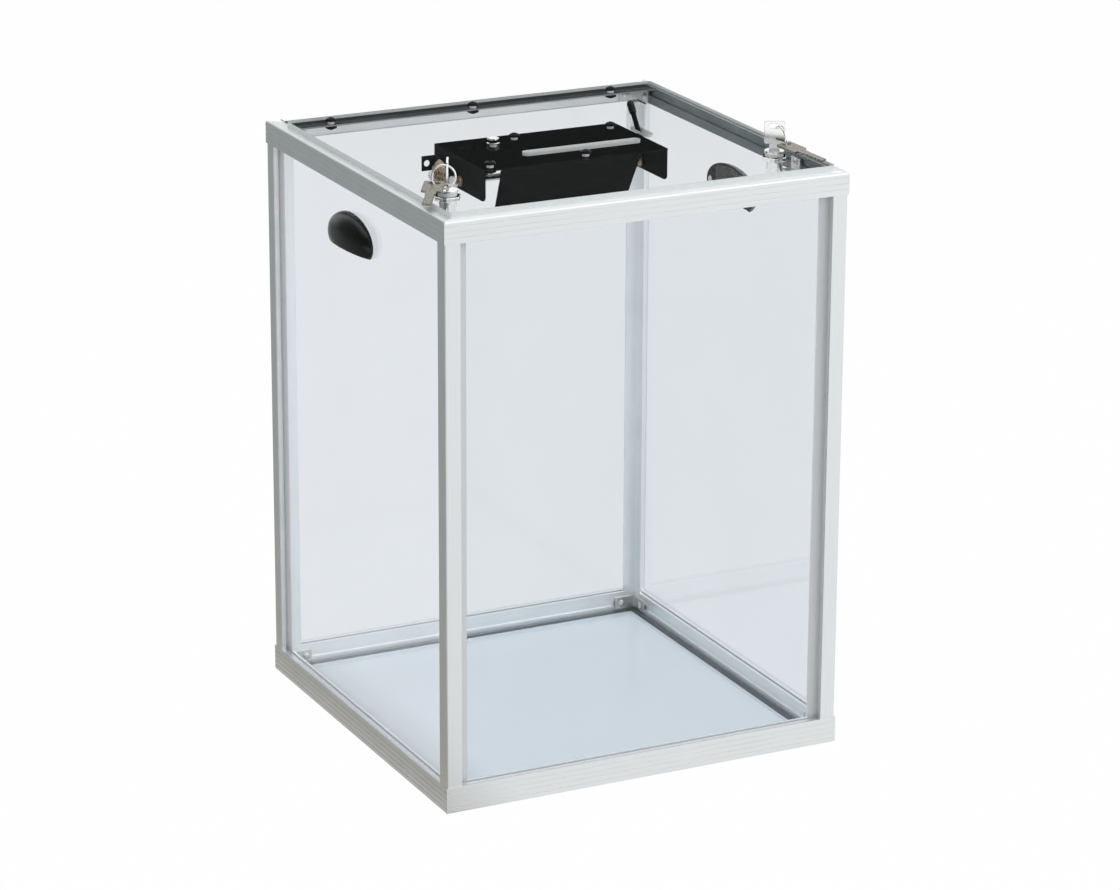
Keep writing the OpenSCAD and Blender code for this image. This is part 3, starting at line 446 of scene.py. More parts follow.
# The frame's lighter inner colour is painted light on the inner faces of its rails and posts.
ANODISED = Metal(
    "anodised", (0.77, 0.80, 0.81), (0.88, 0.9, 0.9), 0.4, metallic=0.8, grain_tone=0.05, grain_rough=0.08,
    edge=0.0002, wear=0.2, inner=(0.965, 0.985, 0.99),
)
HINGE_GREY = Metal(
    "hinge_grey", (0.11, 0.125, 0.13), (0.3, 0.3, 0.3), 0.4, metallic=0.6,
    stretch=Axis.X.stretch(20.0, 1800.0),
)
FINISHES: tuple[Metal | Acrylic | Moulding, ...] = (
    *(replace(ANODISED, name=f"anodised_{axis.name.lower()}", stretch=axis.stretch(*DRAWN)) for axis in Axis),
    # The side top rails get a dark inner colour: painted shade on their inner faces, under the lid's
    # overhang.
    replace(ANODISED, name="anodised_top_y_painted_shade", stretch=Axis.Y.stretch(*DRAWN), inner=(0.19, 0.225, 0.23),
            top_face=0.5498),
    Acrylic("side_acrylic", (0.857, 0.878, 0.902)),
    Acrylic("lid_acrylic", (0.99, 0.997, 1.0), ior=1.06),
    # The floor sheet's deeper tint is partly its own tint and partly painted shade of the ground beneath the
    # box.
    Acrylic("floor_acrylic", (0.76, 0.84, 0.90), roughness=0.2),
    Moulding("cut_acrylic", (0.9, 0.95, 0.96), 0.5, skin=600.0, tone=0.05),
    Metal("black_steel", (0.011, 0.013, 0.013), (0.12, 0.12, 0.12), 0.5, metallic=0.0, specular=0.05,
          stretch=Axis.X.stretch(60.0, 1400.0), grain_tone=0.45, grain_rough=0.12, wear=0.35),
    Moulding("shell_plastic", (0.006, 0.007, 0.007), 0.24, specular=0.35),
    Moulding("grip_rubber", (0.012, 0.012, 0.013), 0.5, specular=0.3, skin=1600.0, bump=0.0001),
    Moulding("wheel_plastic", (0.78, 0.78, 0.75), 0.42, tone=0.03),
    Moulding("digit_paint", (0.01, 0.01, 0.01), 0.5, tone=0.03),
    HINGE_GREY,
    # The hinge's darker copy is painted shade, on the fixed leaf's front at the barrel, and its paler copy is
    # painted light, on the moving leaf's front edge.
    replace(HINGE_GREY, name="hinge_painted_shade", colour=(0.045, 0.055, 0.056), worn=(0.2, 0.2, 0.2)),
    replace(HINGE_GREY, name="hinge_painted_light", colour=(0.32, 0.35, 0.37), worn=(0.5, 0.5, 0.5), metallic=0.8),
    Metal("screw_black", (0.012, 0.012, 0.013), (0.3, 0.3, 0.3), 0.25, metallic=0.0, specular=0.08,
          stretch=(600.0, 600.0, 600.0), grain_tone=0.2, grain_rough=0.05, wear=0.2),
    Metal("zinc_plate", (0.66, 0.66, 0.64), (0.82, 0.82, 0.8), 0.27, stretch=(700.0, 700.0, 700.0),
          grain_tone=0.12, grain_rough=0.14),
    Metal("nickel_plate", (0.9, 0.895, 0.87), (0.98, 0.98, 0.96), 0.014, stretch=(500.0, 500.0, 500.0),
          grain_tone=0.05, grain_rough=0.0, grain_bump=0.000008, smudge=0.01, edge=0.0003),
    # The key's near-black edge colour is painted shade: a dark outline along every edge.
    Metal("key_nickel", (0.95, 0.955, 0.94), (0.1, 0.1, 0.09), 0.08, stretch=(500.0, 500.0, 500.0),
          grain_tone=0.02, grain_rough=0.04, grain_bump=0.000004, edge=0.0009, wear=1.0),
    # The spare key's nickel is darker than the key's, as painted shade, and its near-black edge colour is
    # painted shade too: a dark outline along every edge.
    Metal("spare_nickel_painted_shade", (0.27, 0.26, 0.22), (0.04, 0.04, 0.03), 0.2, metallic=0.8,
          stretch=(500.0, 500.0, 500.0), grain_tone=0.4, edge=0.0008, wear=0.9),
    Metal("bush_bronze", (0.3, 0.22, 0.13), (0.6, 0.48, 0.3), 0.3),
    Metal("gong_bronze", (0.3, 0.225, 0.17), (0.7, 0.6, 0.48), 0.2, metallic=0.95, grain_tone=0.3,
          stretch=Axis.X.stretch(2600.0, 60.0)),
)


# ---------------------------------------------------------------- making pieces


def turned(profile: Sequence[tuple[float, float]], steps: int = 32, socket: float = 0.0) -> Form:
    """Turns an outline about the Z axis.

    Args:
        profile: Radius and height of each point, in millimetres.
        steps: Faces round the axis.
        socket: Points at this radius are moved out to a hexagon round it, for a key.

    Returns:
        The closed mesh, in metres.
    """
    form = bmesh.new()
    points = [form.verts.new((radius * MM, 0, height * MM)) for radius, height in profile]
    edges = [form.edges.new(pair) for pair in zip(points, points[1:])]
    bmesh.ops.spin(
        form, geom=points + edges, cent=(0, 0, 0), axis=(0, 0, 1), angle=math.tau, steps=steps, use_merge=True
    )
    bmesh.ops.remove_doubles(form, verts=form.verts, dist=1e-7)
    bmesh.ops.holes_fill(form, edges=form.edges)
    if socket:
        for vert in form.verts:
            if abs(vert.co.xy.length - socket * MM) < 1e-6:
                turn = math.atan2(vert.co.y, vert.co.x) % (math.pi / 3) - math.pi / 6
                vert.co.xy /= math.cos(turn)
    bmesh.ops.recalc_face_normals(form, faces=form.faces)
    return form


def hexagon(across: float, height: float, chamfer: float) -> Form:
    """A hexagonal nut blank standing on the XY plane.

    Args:
        across: Radius to its corners, in millimetres.
        height: Its height, in millimetres.
        chamfer: How far its edges are cut back, in millimetres.

    Returns:
        The mesh, in metres.
    """
    form = bmesh.new()
    bmesh.ops.create_cone(
        form, cap_ends=True, segments=6, radius1=across * MM, radius2=across * MM, depth=height * MM,
        matrix=Matrix.Translation((0, 0, height / 2 * MM)),
    )
    bmesh.ops.bevel(
        form, geom=form.edges[:], offset=chamfer * MM, offset_type="OFFSET", affect="EDGES", segments=2,
        profile=0.5, material=-1,
    )
    return form


def add_to(whole: Form, part: Form, place: Matrix) -> None:
    """Copies a part into a larger mesh.

    Args:
        whole: The mesh that grows.
        part: The part, freed here.
        place: Where it goes, in metres.
    """
    bmesh.ops.transform(part, matrix=place, verts=part.verts)
    mesh = bpy.data.meshes.new("part")
    part.to_mesh(mesh)
    part.free()
    whole.from_mesh(mesh)
    bpy.data.meshes.remove(mesh)


def at(x: float, y: float, z: float) -> Matrix:
    """A move, given in millimetres."""
    return Matrix.Translation(Vector((x, y, z)) * MM)


def cut(form: Form, point: Point, normal: Point, away: bool = True, fill: bool = False) -> None:
    """Cuts a mesh along a plane.

    Args:
        form: The mesh.
        point: A point on the plane, in millimetres.
        normal: The plane's normal.
        away: Whether what lies on the normal's side is removed.
        fill: Whether the cut is closed.
    """
    result = bmesh.ops.bisect_plane(
        form, geom=form.verts[:] + form.edges[:] + form.faces[:], plane_co=Vector(point) * MM,
        plane_no=normal, clear_outer=away,
    )
    if fill:
        edges = [part for part in result["geom_cut"] if isinstance(part, bmesh.types.BMEdge)]
        bmesh.ops.edgeloop_fill(form, edges=edges)


class Workshop:
    """Turns meshes into pieces that ride on the frame's bodies, and dresses the frame's own solids.

    A softened piece is rounded at edges sharper than rounded_from, and is shaded flat past rounded_crease.
    Angles are in degrees, and distances in metres.
    """

    weld: float = 1e-6
    solid_weld: float = 2e-6
    flat_within: float = 0.5
    rounded_from: float = 40.0
    rounded_crease: float = 16.0

    def __init__(self) -> None:
        """Builds every finish once."""
        effects = Effects()
        self.finishes = {finish.name: finish.build(effects) for finish in FINISHES}

    def dress(self, finish: str, *nodes: str) -> None:
        """Gives solids of the frame a finish.

        Args:
            finish: The finish's name.
            nodes: The solids.
        """
        for name in nodes:
            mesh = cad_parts[name].data
            mesh.materials.clear()
            mesh.materials.append(self.finishes[finish])
            log.info("dressed %s in %s", name, finish)

    def piece(
        self, name: str, form: Form, finish: str, body: str, slot: str,
        stands_for: Iterable[str] = (), crease: float = 35.0,
    ) -> bpy.types.Object:
        """Makes a piece from a mesh that is already in place.

        Args:
            name: The piece's name.
            form: Its mesh in metres, freed here.
            finish: The finish's name.
            body: The body that it rides on.
            slot: The record's material slot; not used.
            stands_for: The solids that it replaces.
            crease: Edges sharper than this stay sharp, in degrees.

        Returns:
            The new object.
        """
        bmesh.ops.remove_doubles(form, verts=form.verts, dist=self.weld)
        bmesh.ops.recalc_face_normals(form, faces=form.faces)
        for face in form.faces:
            face.smooth = True
        for edge in form.edges:
            if len(edge.link_faces) == 2 and edge.calc_face_angle() > math.radians(crease):
                edge.smooth = False
        mesh = bpy.data.meshes.new(name)
        form.to_mesh(mesh)
        form.free()
        obj = bpy.data.objects.new(name, mesh)
        bpy.context.scene.collection.objects.link(obj)
        mesh.materials.append(self.finishes[finish])
        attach(obj, body)
        if stands_for:
            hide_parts(*stands_for)
        log.info("made %s, %d faces", name, len(mesh.polygons))
        return obj

    def copied(self, *nodes: str) -> Form:
        """Copies solids of the frame into one merged mesh.

        Args:
            nodes: The solids.

        Returns:
            Their mesh, with flat areas joined into whole faces.
        """
        form = bmesh.new()
        for node in nodes:
            form.from_mesh(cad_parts[node].data)
        bmesh.ops.remove_doubles(form, verts=form.verts, dist=self.solid_weld)
        flat = math.radians(self.flat_within)
        bmesh.ops.dissolve_limit(form, angle_limit=flat, verts=form.verts, edges=form.edges)
        return form

    def softened(self, node: str, width: float, finish: str, body: str, slot: str) -> None:
        """Stands a copy of a solid in its place, merged and with its sharp edges rounded.

        Args:
            node: The solid.
            width: How far an edge is cut back, in millimetres.
            finish: The finish's name.
            body: The body that it rides on.
            slot: The record's material slot.
        """
        form = self.copied(node)
        sharp = [
            edge for edge in form.edges
            if len(edge.link_faces) == 2 and edge.calc_face_angle() > math.radians(self.rounded_from)
        ]
        bmesh.ops.bevel(
            form, geom=sharp, offset=width * MM, offset_type="OFFSET", affect="EDGES", segments=2,
            profile=0.5, material=-1, clamp_overlap=True,
        )
        self.piece(f"soft_{node}", form, finish, body, slot, (node,), crease=self.rounded_crease)


# ---------------------------------------------------------------- stage


@dataclass
class Stage:
    """Floor, world, lamps and camera.

    Angles are in degrees, the lens in millimetres, and the rest in metres and watts. The pairs say where a
    dark part of the studio starts and ends.
    """

    azimuth: float = -26.2994
    elevation: float = 18.2573
    roll: float = 0.2587
    distance: float = 3.94175
    right: float = 0.00935
    up: float = -0.013154
    aim: float = 0.275
    lens: float = 135.277
    floor_size: float = 60.0
    floor_paint: Colour = (0.86, 0.86, 0.86)
    floor_glow: float = 0.985
    near_shade: Colour = (0.40, 0.37, 0.30)
    far_shade: Colour = (0.32, 0.36, 0.36)
    dark_x: tuple[float, float] = (-0.12, -0.24)
    dark_y: tuple[float, float] = (-0.7, -0.3)
    away_x: tuple[float, float] = (-0.2, -0.9)
    sky_light: float = 0.5
    dark_side: float = 0.15
    left_edge: tuple[float, float] = (-0.45, -0.15)
    dark_top: float = 0.06
    top_edge: tuple[float, float] = (0.06, 0.16)
    lamp_aim: float = 0.35
    key_place: Point = (2.2, -3.0, 2.2)
    key_size: float = 3.6
    key_power: float = 36.0
    top_place: Point = (-0.6, 0.4, 3.0)
    top_size: float = 2.4
    top_power: float = 16.0

    def camera(self) -> None:
        """Makes the camera, aimed close to the middle of the box."""
        az, el, roll = (math.radians(a) for a in (self.azimuth, self.elevation, self.roll))
        back = Vector((math.sin(az) * math.cos(el), -math.cos(az) * math.cos(el), math.sin(el)))
        right = (-back).cross(Vector((0, 0, 1))).normalized()
        up = right.cross(-back)
        turned = right * math.cos(roll) + up * math.sin(roll)
        raised = up * math.cos(roll) - right * math.sin(roll)
        data = bpy.data.cameras.new("view_camera")
        data.lens = self.lens
        data.sensor_width = 36.0
        data.clip_start, data.clip_end = 0.05, 200.0
        camera = bpy.data.objects.new("view_camera", data)
        place = back * self.distance + turned * self.right + raised * self.up + Vector((0, 0, self.aim))
        turn = Matrix((turned, raised, back)).transposed()
        camera.matrix_world = Matrix.Translation(place) @ turn.to_4x4()
        bpy.context.scene.collection.objects.link(camera)
        bpy.context.scene.camera = camera

    def floor(self) -> None:
        """Makes the floor: white to the eye and through glass, with a dark side that only metal reflects."""
        form = bmesh.new()
        bmesh.ops.create_grid(form, x_segments=1, y_segments=1, size=self.floor_size / 2)
        mesh = bpy.data.meshes.new("studio_floor")
        form.to_mesh(mesh)
        form.free()
        floor = bpy.data.objects.new("studio_floor", mesh)
        bpy.context.scene.collection.objects.link(floor)
        material, tree, shader = new_material("studio_floor")
        nodes = material.node_tree.nodes
        nodes.remove(shader)
        path = tree.add("LightPath").outputs
        place = tree.add("SeparateXYZ", {0: tree.add("TexCoord").outputs["Object"]}).outputs
        left = tree.ramp(place["X"], *self.dark_x)
        behind = tree.ramp(place["Y"], *self.dark_y)
        side = tree.maths("MULTIPLY", left, behind)
        shade = tree.blend(tree.ramp(place["X"], *self.away_x), self.near_shade, self.far_shade)
        blurred = tree.maths("SUBTRACT", path["Is Glossy Ray"], path["Is Singular Ray"])
        first = tree.maths("LESS_THAN", path["Glossy Depth"], SECOND_BOUNCE)
        blurred = tree.maths("MULTIPLY", first, tree.maths("MAXIMUM", blurred, 0.0))
        hidden = tree.maths("MULTIPLY", side, blurred)
        glow = tree.add("Emission", {"Color": tree.blend(hidden, WHITE, shade)}).outputs[0]
        plain = tree.add("BsdfDiffuse", {"Color": self.floor_paint}).outputs[0]
        looked = tree.maths("MAXIMUM", path["Is Camera Ray"], path["Is Glossy Ray"])
        looked = tree.maths("MAXIMUM", looked, path["Is Transmission Ray"])
        glowing = tree.maths("MULTIPLY", looked, self.floor_glow)
        mix = tree.add("MixShader", {0: glowing, 1: plain, 2: glow})
        tree.fill(nodes["Material Output"], {"Surface": mix.outputs[0]})
        mesh.materials.append(material)

    def sky(self) -> None:
        """Makes the world: white to the eye and in glass, dark to the left and above in reflections."""
        world = bpy.data.worlds.new("studio_world")
        bpy.context.scene.world = world
        world.use_nodes = True
        tree = Tree(world.node_tree)
        background = world.node_tree.nodes["Background"]
        path = tree.add("LightPath").outputs
        way = tree.add("SeparateXYZ", {0: tree.add("TexCoord").outputs["Generated"]}).outputs
        left = tree.ramp(way["X"], *self.left_edge, self.dark_side, 1.0)
        ceiling = tree.ramp(way["Z"], *self.top_edge, 0.0, 1.0 - self.dark_top)
        overhead = tree.maths("MULTIPLY", path["Is Singular Ray"], ceiling)
        mirrored = tree.maths("MULTIPLY", left, tree.maths("SUBTRACT", 1.0, overhead))
        mirrored = tree.maths("MULTIPLY", path["Is Glossy Ray"], mirrored)
        within = tree.maths("GREATER_THAN", path["Glossy Depth"], FIRST_BOUNCE)
        single = tree.maths("LESS_THAN", path["Transmission Depth"], SECOND_SHEET)
        within = tree.maths("MULTIPLY", within, single)
        through = tree.maths("SUBTRACT", 1.0, tree.maths("MULTIPLY", within, ceiling))
        through = tree.maths("MULTIPLY", path["Is Transmission Ray"], through)
        seen = tree.maths("MAXIMUM", tree.maths("MAXIMUM", path["Is Camera Ray"], through), mirrored)
        plain = tree.maths("MULTIPLY", path["Is Diffuse Ray"], self.sky_light)
        tree.fill(background, {"Color": WHITE, "Strength": tree.maths("MAXIMUM", seen, plain)})

    def lamp(self, name: str, place: Point, size: float, power: float) -> None:
        """Makes a square soft lamp aimed at the middle of the box.

        Args:
            name: The lamp's name.
            place: Where it stands, in metres.
            size: The length of its side, in metres.
            power: Its power, in watts.
        """
        data = bpy.data.lights.new(name, "AREA")
        data.size = size
        data.energy = power
        lamp = bpy.data.objects.new(name, data)
        lamp.location = place
        way = Vector((0, 0, self.lamp_aim)) - Vector(place)
        lamp.rotation_euler = way.to_track_quat("-Z", "Y").to_euler()
        bpy.context.scene.collection.objects.link(lamp)

    def build(self) -> None:
        """Makes the whole stage."""
        bpy.context.scene.view_settings.view_transform = "Standard"
        self.camera()
        self.floor()
        self.sky()
        self.lamp("key_softbox", self.key_place, self.key_size, self.key_power)
        self.lamp("top_softbox", self.top_place, self.top_size, self.top_power)


# ---------------------------------------------------------------- sub-assemblies


@dataclass
class SubAssembly:
    """A part of the box that is made and dressed in the workshop."""

    shop: Workshop

    def build(self) -> None:
        """Makes and dresses the part's pieces."""
        raise NotImplementedError


@dataclass
class RailFrame(SubAssembly):
    """Rails, posts, brackets and keepers."""

    side_rails: tuple[tuple[str, str], ...] = (("base_rail", "anodised_y"), ("top_rail", "anodised_top_y_painted_shade"))

    def build(self) -> None:
        """Dresses the frame."""
        for level, finish in self.side_rails:
            self.shop.dress("anodised_x", f"{level}_front", f"{level}_back")
            self.shop.dress(finish, f"{level}_left", f"{level}_right")
        self.shop.dress("anodised_z", *(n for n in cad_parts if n.startswith("post_")))
        joins = ("base_corner_brackets", "top_corner_brackets", "frame_screws", "lock_keepers")
        self.shop.dress("zinc_plate", *joins)


@dataclass
class Glazing(SubAssembly):
    """Side panels, floor and lid, which is frosted where a face's normal rises less than wall_rise."""

    wall_rise: float = 0.3

    def build(self) -> None:
        """Dresses the sheets and makes the lid."""
        self.shop.dress("side_acrylic", *(f"panel_{side}" for side in ("front", "right", "back", "left")))
        self.shop.dress("floor_acrylic", "floor_panel")
        self.lid()

    def lid(self) -> None:
        """Makes the lid: polished faces, with frosted walls where it was sawn and drilled."""
        form = self.shop.copied("lid_panel")
        for face in form.faces:
            face.material_index = int(abs(face.normal.z) < self.wall_rise)
        lid = self.shop.piece("lid_sheet", form, "lid_acrylic", "lid", "clear_acrylic", ("lid_panel",))
        lid.data.materials.append(self.shop.finishes["cut_acrylic"])


@dataclass
class Hinge(SubAssembly):
    """The long hinge at the back: a grey leaf with a paler front edge, which is painted light, and a dark
    barrel, which is painted shade.
    """

    rail_edge: float = 186.0
    leaf_edge: float = 160.0

    def build(self) -> None:
        """Makes both leaves."""
        fixed, moving = ("anodised_x", "hinge_painted_shade"), ("hinge_grey", "hinge_painted_light")
        self.leaf("hinge_fixed_leaf", "frame", "hinge_steel", self.rail_edge, fixed)
        self.leaf("hinge_moving_leaf", "lid", "black_steel", self.leaf_edge, moving)

    def leaf(self, node: str, body: str, slot: str, edge: float, finishes: tuple[str, str]) -> None:
        """Makes one leaf with two tones, the front one painted light or painted shade.

        Args:
            node: The solid that it stands for.
            body: The body that it rides on.
            slot: Its material slot.
            edge: Where the tones meet along Y, in millimetres.
            finishes: The tone behind the edge, and the tone in front of it.
        """
        form = self.shop.copied(node)
        cut(form, (0.0, edge, 0.0), (0.0, 1.0, 0.0), away=False)
        for face in form.faces:
            face.material_index = int(face.calc_center_median().y < edge * MM)
        leaf = self.shop.piece(f"soft_{node}", form, finishes[0], body, slot, (node,))
        leaf.data.materials.append(self.shop.finishes[finishes[1]])


@dataclass
class LidScrews(SubAssembly):
    """Button-head screws with hexagon sockets, and their nuts."""

    head_r: float = 5.2
    head_h: float = 3.3
    seat: float = LID_TOP
    shank_r: float = 2.95
    socket_r: float = 1.7
    socket_depth: float = 1.7
    chamfer: float = 0.5
    past_nut: float = 1.0
    nut_r: float = 5.6
    nut_h: float = 3.0
    nut_chamfer: float = 0.35
    dome_turns: tuple[float, ...] = (0.0, 0.2, 0.45, 0.7, 0.95, 1.15)
    housing: tuple[tuple[float, float], ...] = ((-88, -55.5), (8, -55), (-24, 28), (75, 28))
    hinge: tuple[tuple[float, float], ...] = ((-153, 154), (-7, 154), (139, 154))
    housing_nut_top: float = PLATE_LOW
    hinge_nut_top: float = 548.8

    def build(self) -> None:
        """Makes all the screws as one piece."""
        form = bmesh.new()
        for places, nut_top in ((self.housing, self.housing_nut_top), (self.hinge, self.hinge_nut_top)):
            for x, y in places:
                add_to(form, self.screw(nut_top), at(x, y, self.seat))
                nut = hexagon(self.nut_r, self.nut_h, self.nut_chamfer)
                add_to(form, nut, at(x, y, nut_top - self.nut_h))
        self.shop.piece("button_screws", form, "screw_black", "lid", "black_steel", ("lid_screws",))

    def screw(self, nut_top: float) -> Form:
        """One screw, its head on the XY plane.

        Args:
            nut_top: Height of its nut's upper face.

        Returns:
            The mesh.
        """
        end = nut_top - self.nut_h - self.past_nut - self.seat
        r, hole, core, bevel = self.head_r, self.socket_r, self.shank_r, self.chamfer
        rise = self.head_h - bevel
        dome = [(r * math.cos(turn), bevel + rise * math.sin(turn)) for turn in self.dome_turns]
        top = dome[-1][1]
        shank = [(0.0, end), (core - bevel, end), (core, end + bevel), (core, 0.0)]
        socket = [(hole + 0.35, top), (hole, top - 0.2), (hole, top - self.socket_depth), (0.0, top - 2.0)]
        outline = [*shank, (r - 0.1, 0.0), *dome, *socket]
        return turned(outline, 36, socket=hole)


@dataclass
class CarryHandles(SubAssembly):
    """Moulded hoods over the hand holes in both side panels."""

    wall: float = 194.0
    middle: float = 10.0
    mouth: float = 472.0
    out: float = 15.9
    half: float = 44.9
    axis_up: float = 11.33
    half_height: float = 22.6
    lip_up: float = 5.0
    skin: float = 2.5
    foot_from: float = 27.0
    foot: float = 2.5
    foot_low: float = 0.6

    def build(self) -> None:
        """Makes the left and the right handle."""
        for side in Side:
            form = self.hood()
            for end in (-1, 1):
                add_to(form, self.foot_pad(end), Matrix.Identity(4))
            turn = Matrix.Scale(-1, 4, (1, 0, 0)) if side is Side.LEFT else Matrix.Identity(4)
            place = at(0, self.middle, self.mouth) @ turn @ at(self.wall, 0, 0)
            bmesh.ops.transform(form, matrix=place, verts=form.verts)
            self.shop.piece(
                f"hood_{side.word}", form, "shell_plastic", "frame", "black_shell_plastic",
                (f"handle_{side.word}",), crease=50.0,
            )

    def dome(self, shrink: float) -> Form:
        """An egg-shaped ball above the middle of the mouth at the wall.

        Args:
            shrink: How much smaller it is all round, in millimetres.

        Returns:
            The mesh.
        """
        form = bmesh.new()
        bmesh.ops.create_uvsphere(form, u_segments=72, v_segments=48, radius=1.0)
        bmesh.ops.rotate(form, verts=form.verts, matrix=Matrix.Rotation(math.pi / 2, 3, "X"))
        size = (self.out - shrink, self.half - shrink, self.half_height - shrink)
        bmesh.ops.scale(form, vec=[part * MM for part in size], verts=form.verts)
        bmesh.ops.translate(form, vec=(0, 0, self.axis_up * MM), verts=form.verts)
        return form

    def hood(self) -> Form:
        """The hood: an open shell with an even wall and a lip that rises away from the panel.

        Returns:
            The mesh.
        """
        form, inner = self.dome(0.0), self.dome(self.skin)
        for half in (form, inner):
            cut(half, (0.0, 0.0, 0.0), (-1.0, 0.0, 0.0))
            cut(half, (0.0, 0.0, 0.0), (self.lip_up, 0.0, -self.out))
        bmesh.ops.reverse_faces(inner, faces=inner.faces)
        add_to(form, inner, Matrix.Identity(4))
        rims = [edge for edge in form.edges if len(edge.link_faces) == 1]
        bmesh.ops.bridge_loops(form, edges=rims)
        return form

    def foot_pad(self, end: int) -> Form:
        """The flat at one end of a hood, where its screw passes.

        Args:
            end: -1 for the front end, 1 for the back end.

        Returns:
            The mesh.
        """
        form = self.dome(self.skin * 0.5)
        cut(form, (0.0, 0.0, 0.0), (-1.0, 0.0, 0.0), fill=True)
        cut(form, (self.foot, 0.0, 0.0), (1.0, 0.0, 0.0), fill=True)
        cut(form, (0.0, 0.0, self.foot_low), (0.0, 0.0, -1.0), fill=True)
        cut(form, (0.0, end * self.foot_from, 0.0), (0.0, -float(end), 0.0), fill=True)
        return form


@dataclass
class SlotMechanism(SubAssembly):
    """Folded housing, chute, brackets, lever and its spring under the lid."""

    shaft_y: float = -12.0
    shaft_z: float = 528.0
    lever_x: float = 93.0
    lever_lean: float = 36.5
    lever_length: float = 61.5
    grip_r: float = 3.5
    grip_length: float = 13.0
    grip_bore: float = 2.4
    ribs: int = 4
    rib_pitch: float = 1.7
    rib_depth: float = 0.5
    spring_x: float = 70.5
    spring_length: float = 9.0
    coil_r: float = 4.5
    wire_r: float = 0.7
    turns: int = 5
    turn_steps: int = 28
    rounding: tuple[tuple[str, float, str], ...] = (
        ("slot_housing", 0.5, "lid"), ("slot_chute", 0.3, "lid"), ("bell_bracket", 0.3, "lid"),
        ("counter_case", 0.5, "lid"), ("lever_arm", 0.4, "lever"),
    )

    def build(self) -> None:
        """Makes the mechanism's pieces."""
        self.rounded()
        self.spring()
        self.grip()

    def spring(self) -> None:
        """Winds the return spring about the shaft, with one leg up to the plate."""
        form = bmesh.new()
        leg_x = self.spring_x + 2 * self.wire_r
        foot = at(leg_x, self.shaft_y + self.coil_r, self.shaft_z)
        start = bmesh.ops.create_circle(form, segments=10, radius=self.wire_r * MM, matrix=foot)
        ring = form.edges[:]
        leg = bmesh.ops.extrude_edge_only(form, edges=ring)["geom"]
        up = [part for part in leg if isinstance(part, bmesh.types.BMVert)]
        bmesh.ops.translate(form, vec=(0, 0, (PLATE_LOW - self.shaft_z) * MM), verts=up)
        steps = self.turn_steps * self.turns
        run = (self.spring_length - 4 * self.wire_r) * MM
        shaft = Vector((0, self.shaft_y, self.shaft_z)) * MM
        bmesh.ops.spin(
            form, geom=start["verts"] + ring, cent=shaft, axis=(1, 0, 0), dvec=(run / steps, 0, 0),
            angle=-math.tau * self.turns, steps=steps,
        )
        bmesh.ops.holes_fill(form, edges=[edge for edge in form.edges if len(edge.link_faces) == 1])
        self.shop.piece("wound_spring", form, "zinc_plate", "lid", "plated_steel", ("return_spring",))

    def grip(self) -> None:
        """Makes the lever's grip: a ribbed sleeve with a round end."""
        r, bore, low = self.grip_r, self.grip_bore, self.lever_length - self.grip_length
        outline = [(0.0, low + 1.0), (bore - 0.1, low + 1.0), (bore, low), (r - 0.6, low)]
        outline.append((r - 0.1, low + 0.6))
        valley = r - self.rib_depth
        for rib in range(self.ribs):
            foot = low + 1.6 + self.rib_pitch * rib
            outline += [(valley, foot), (valley, foot + 0.5), (r, foot + 0.9), (r, foot + 1.3)]
        for turn in (0.0, 0.4, 0.8, 1.2, math.pi / 2):
            outline.append((r * math.cos(turn), self.lever_length - r + r * math.sin(turn)))
        form = turned(outline, 32)
        lean = Matrix.Rotation(-math.radians(self.lever_lean), 4, "X")
        place = at(self.lever_x, self.shaft_y, self.shaft_z) @ lean
        bmesh.ops.transform(form, matrix=place, verts=form.verts)
        self.shop.piece("ribbed_grip", form, "grip_rubber", "lever", "grip_rubber", ("lever_grip",))

    def rounded(self) -> None:
        """Rounds the folds and edges of the sheet pieces."""
        for node, width, body in self.rounding:
            self.shop.softened(node, width, "black_steel", body, "black_steel")


@dataclass
class Bell(SubAssembly):
    """The gong beside the housing: spun bronze with turned rings and a rolled rim."""

    rim_x: float = -103.5
    y: float = 17.0
    z: float = 528.0
    radius: float = 13.95
    depth: float = 7.95
    wall: float = 1.0
    bore: float = 2.65
    rings: int = 5
    ring_steps: int = 8
    ring_depth: float = 0.18
    rolled: float = 0.3

    def build(self) -> None:
        """Makes the gong."""
        ball = (self.radius**2 + self.depth**2) / (2 * self.depth)
        edge = math.asin(self.radius / ball)
        outside, inside = [], []
        steps = self.rings * self.ring_steps
        for step in range(steps + 1):
            turn = edge * (1 - step / steps)
            groove = self.ring_depth * (1 - math.cos(step * math.tau / self.ring_steps)) / 2
            for line, r in ((outside, ball - groove), (inside, ball - self.wall)):
                radius = r * math.sin(turn)
                if radius > self.bore:
                    line.append((radius, self.depth - ball + r * math.cos(turn)))
        inside = [point for point in inside if point[1] > self.rolled]
        hole = [(self.bore, outside[-1][1]), (self.bore, inside[-1][1])]
        outline = [*outside, *hole, *reversed(inside), (inside[0][0] + 0.1, 0.0), outside[0]]
        form = turned(outline, 64)
        place = at(self.rim_x, self.y, self.z) @ Matrix.Rotation(-math.pi / 2, 4, "Y")
        bmesh.ops.transform(form, matrix=place, verts=form.verts)
        self.shop.piece("spun_gong", form, "gong_bronze", "lid", "gong_bronze", ("bell_gong",), crease=40.0)


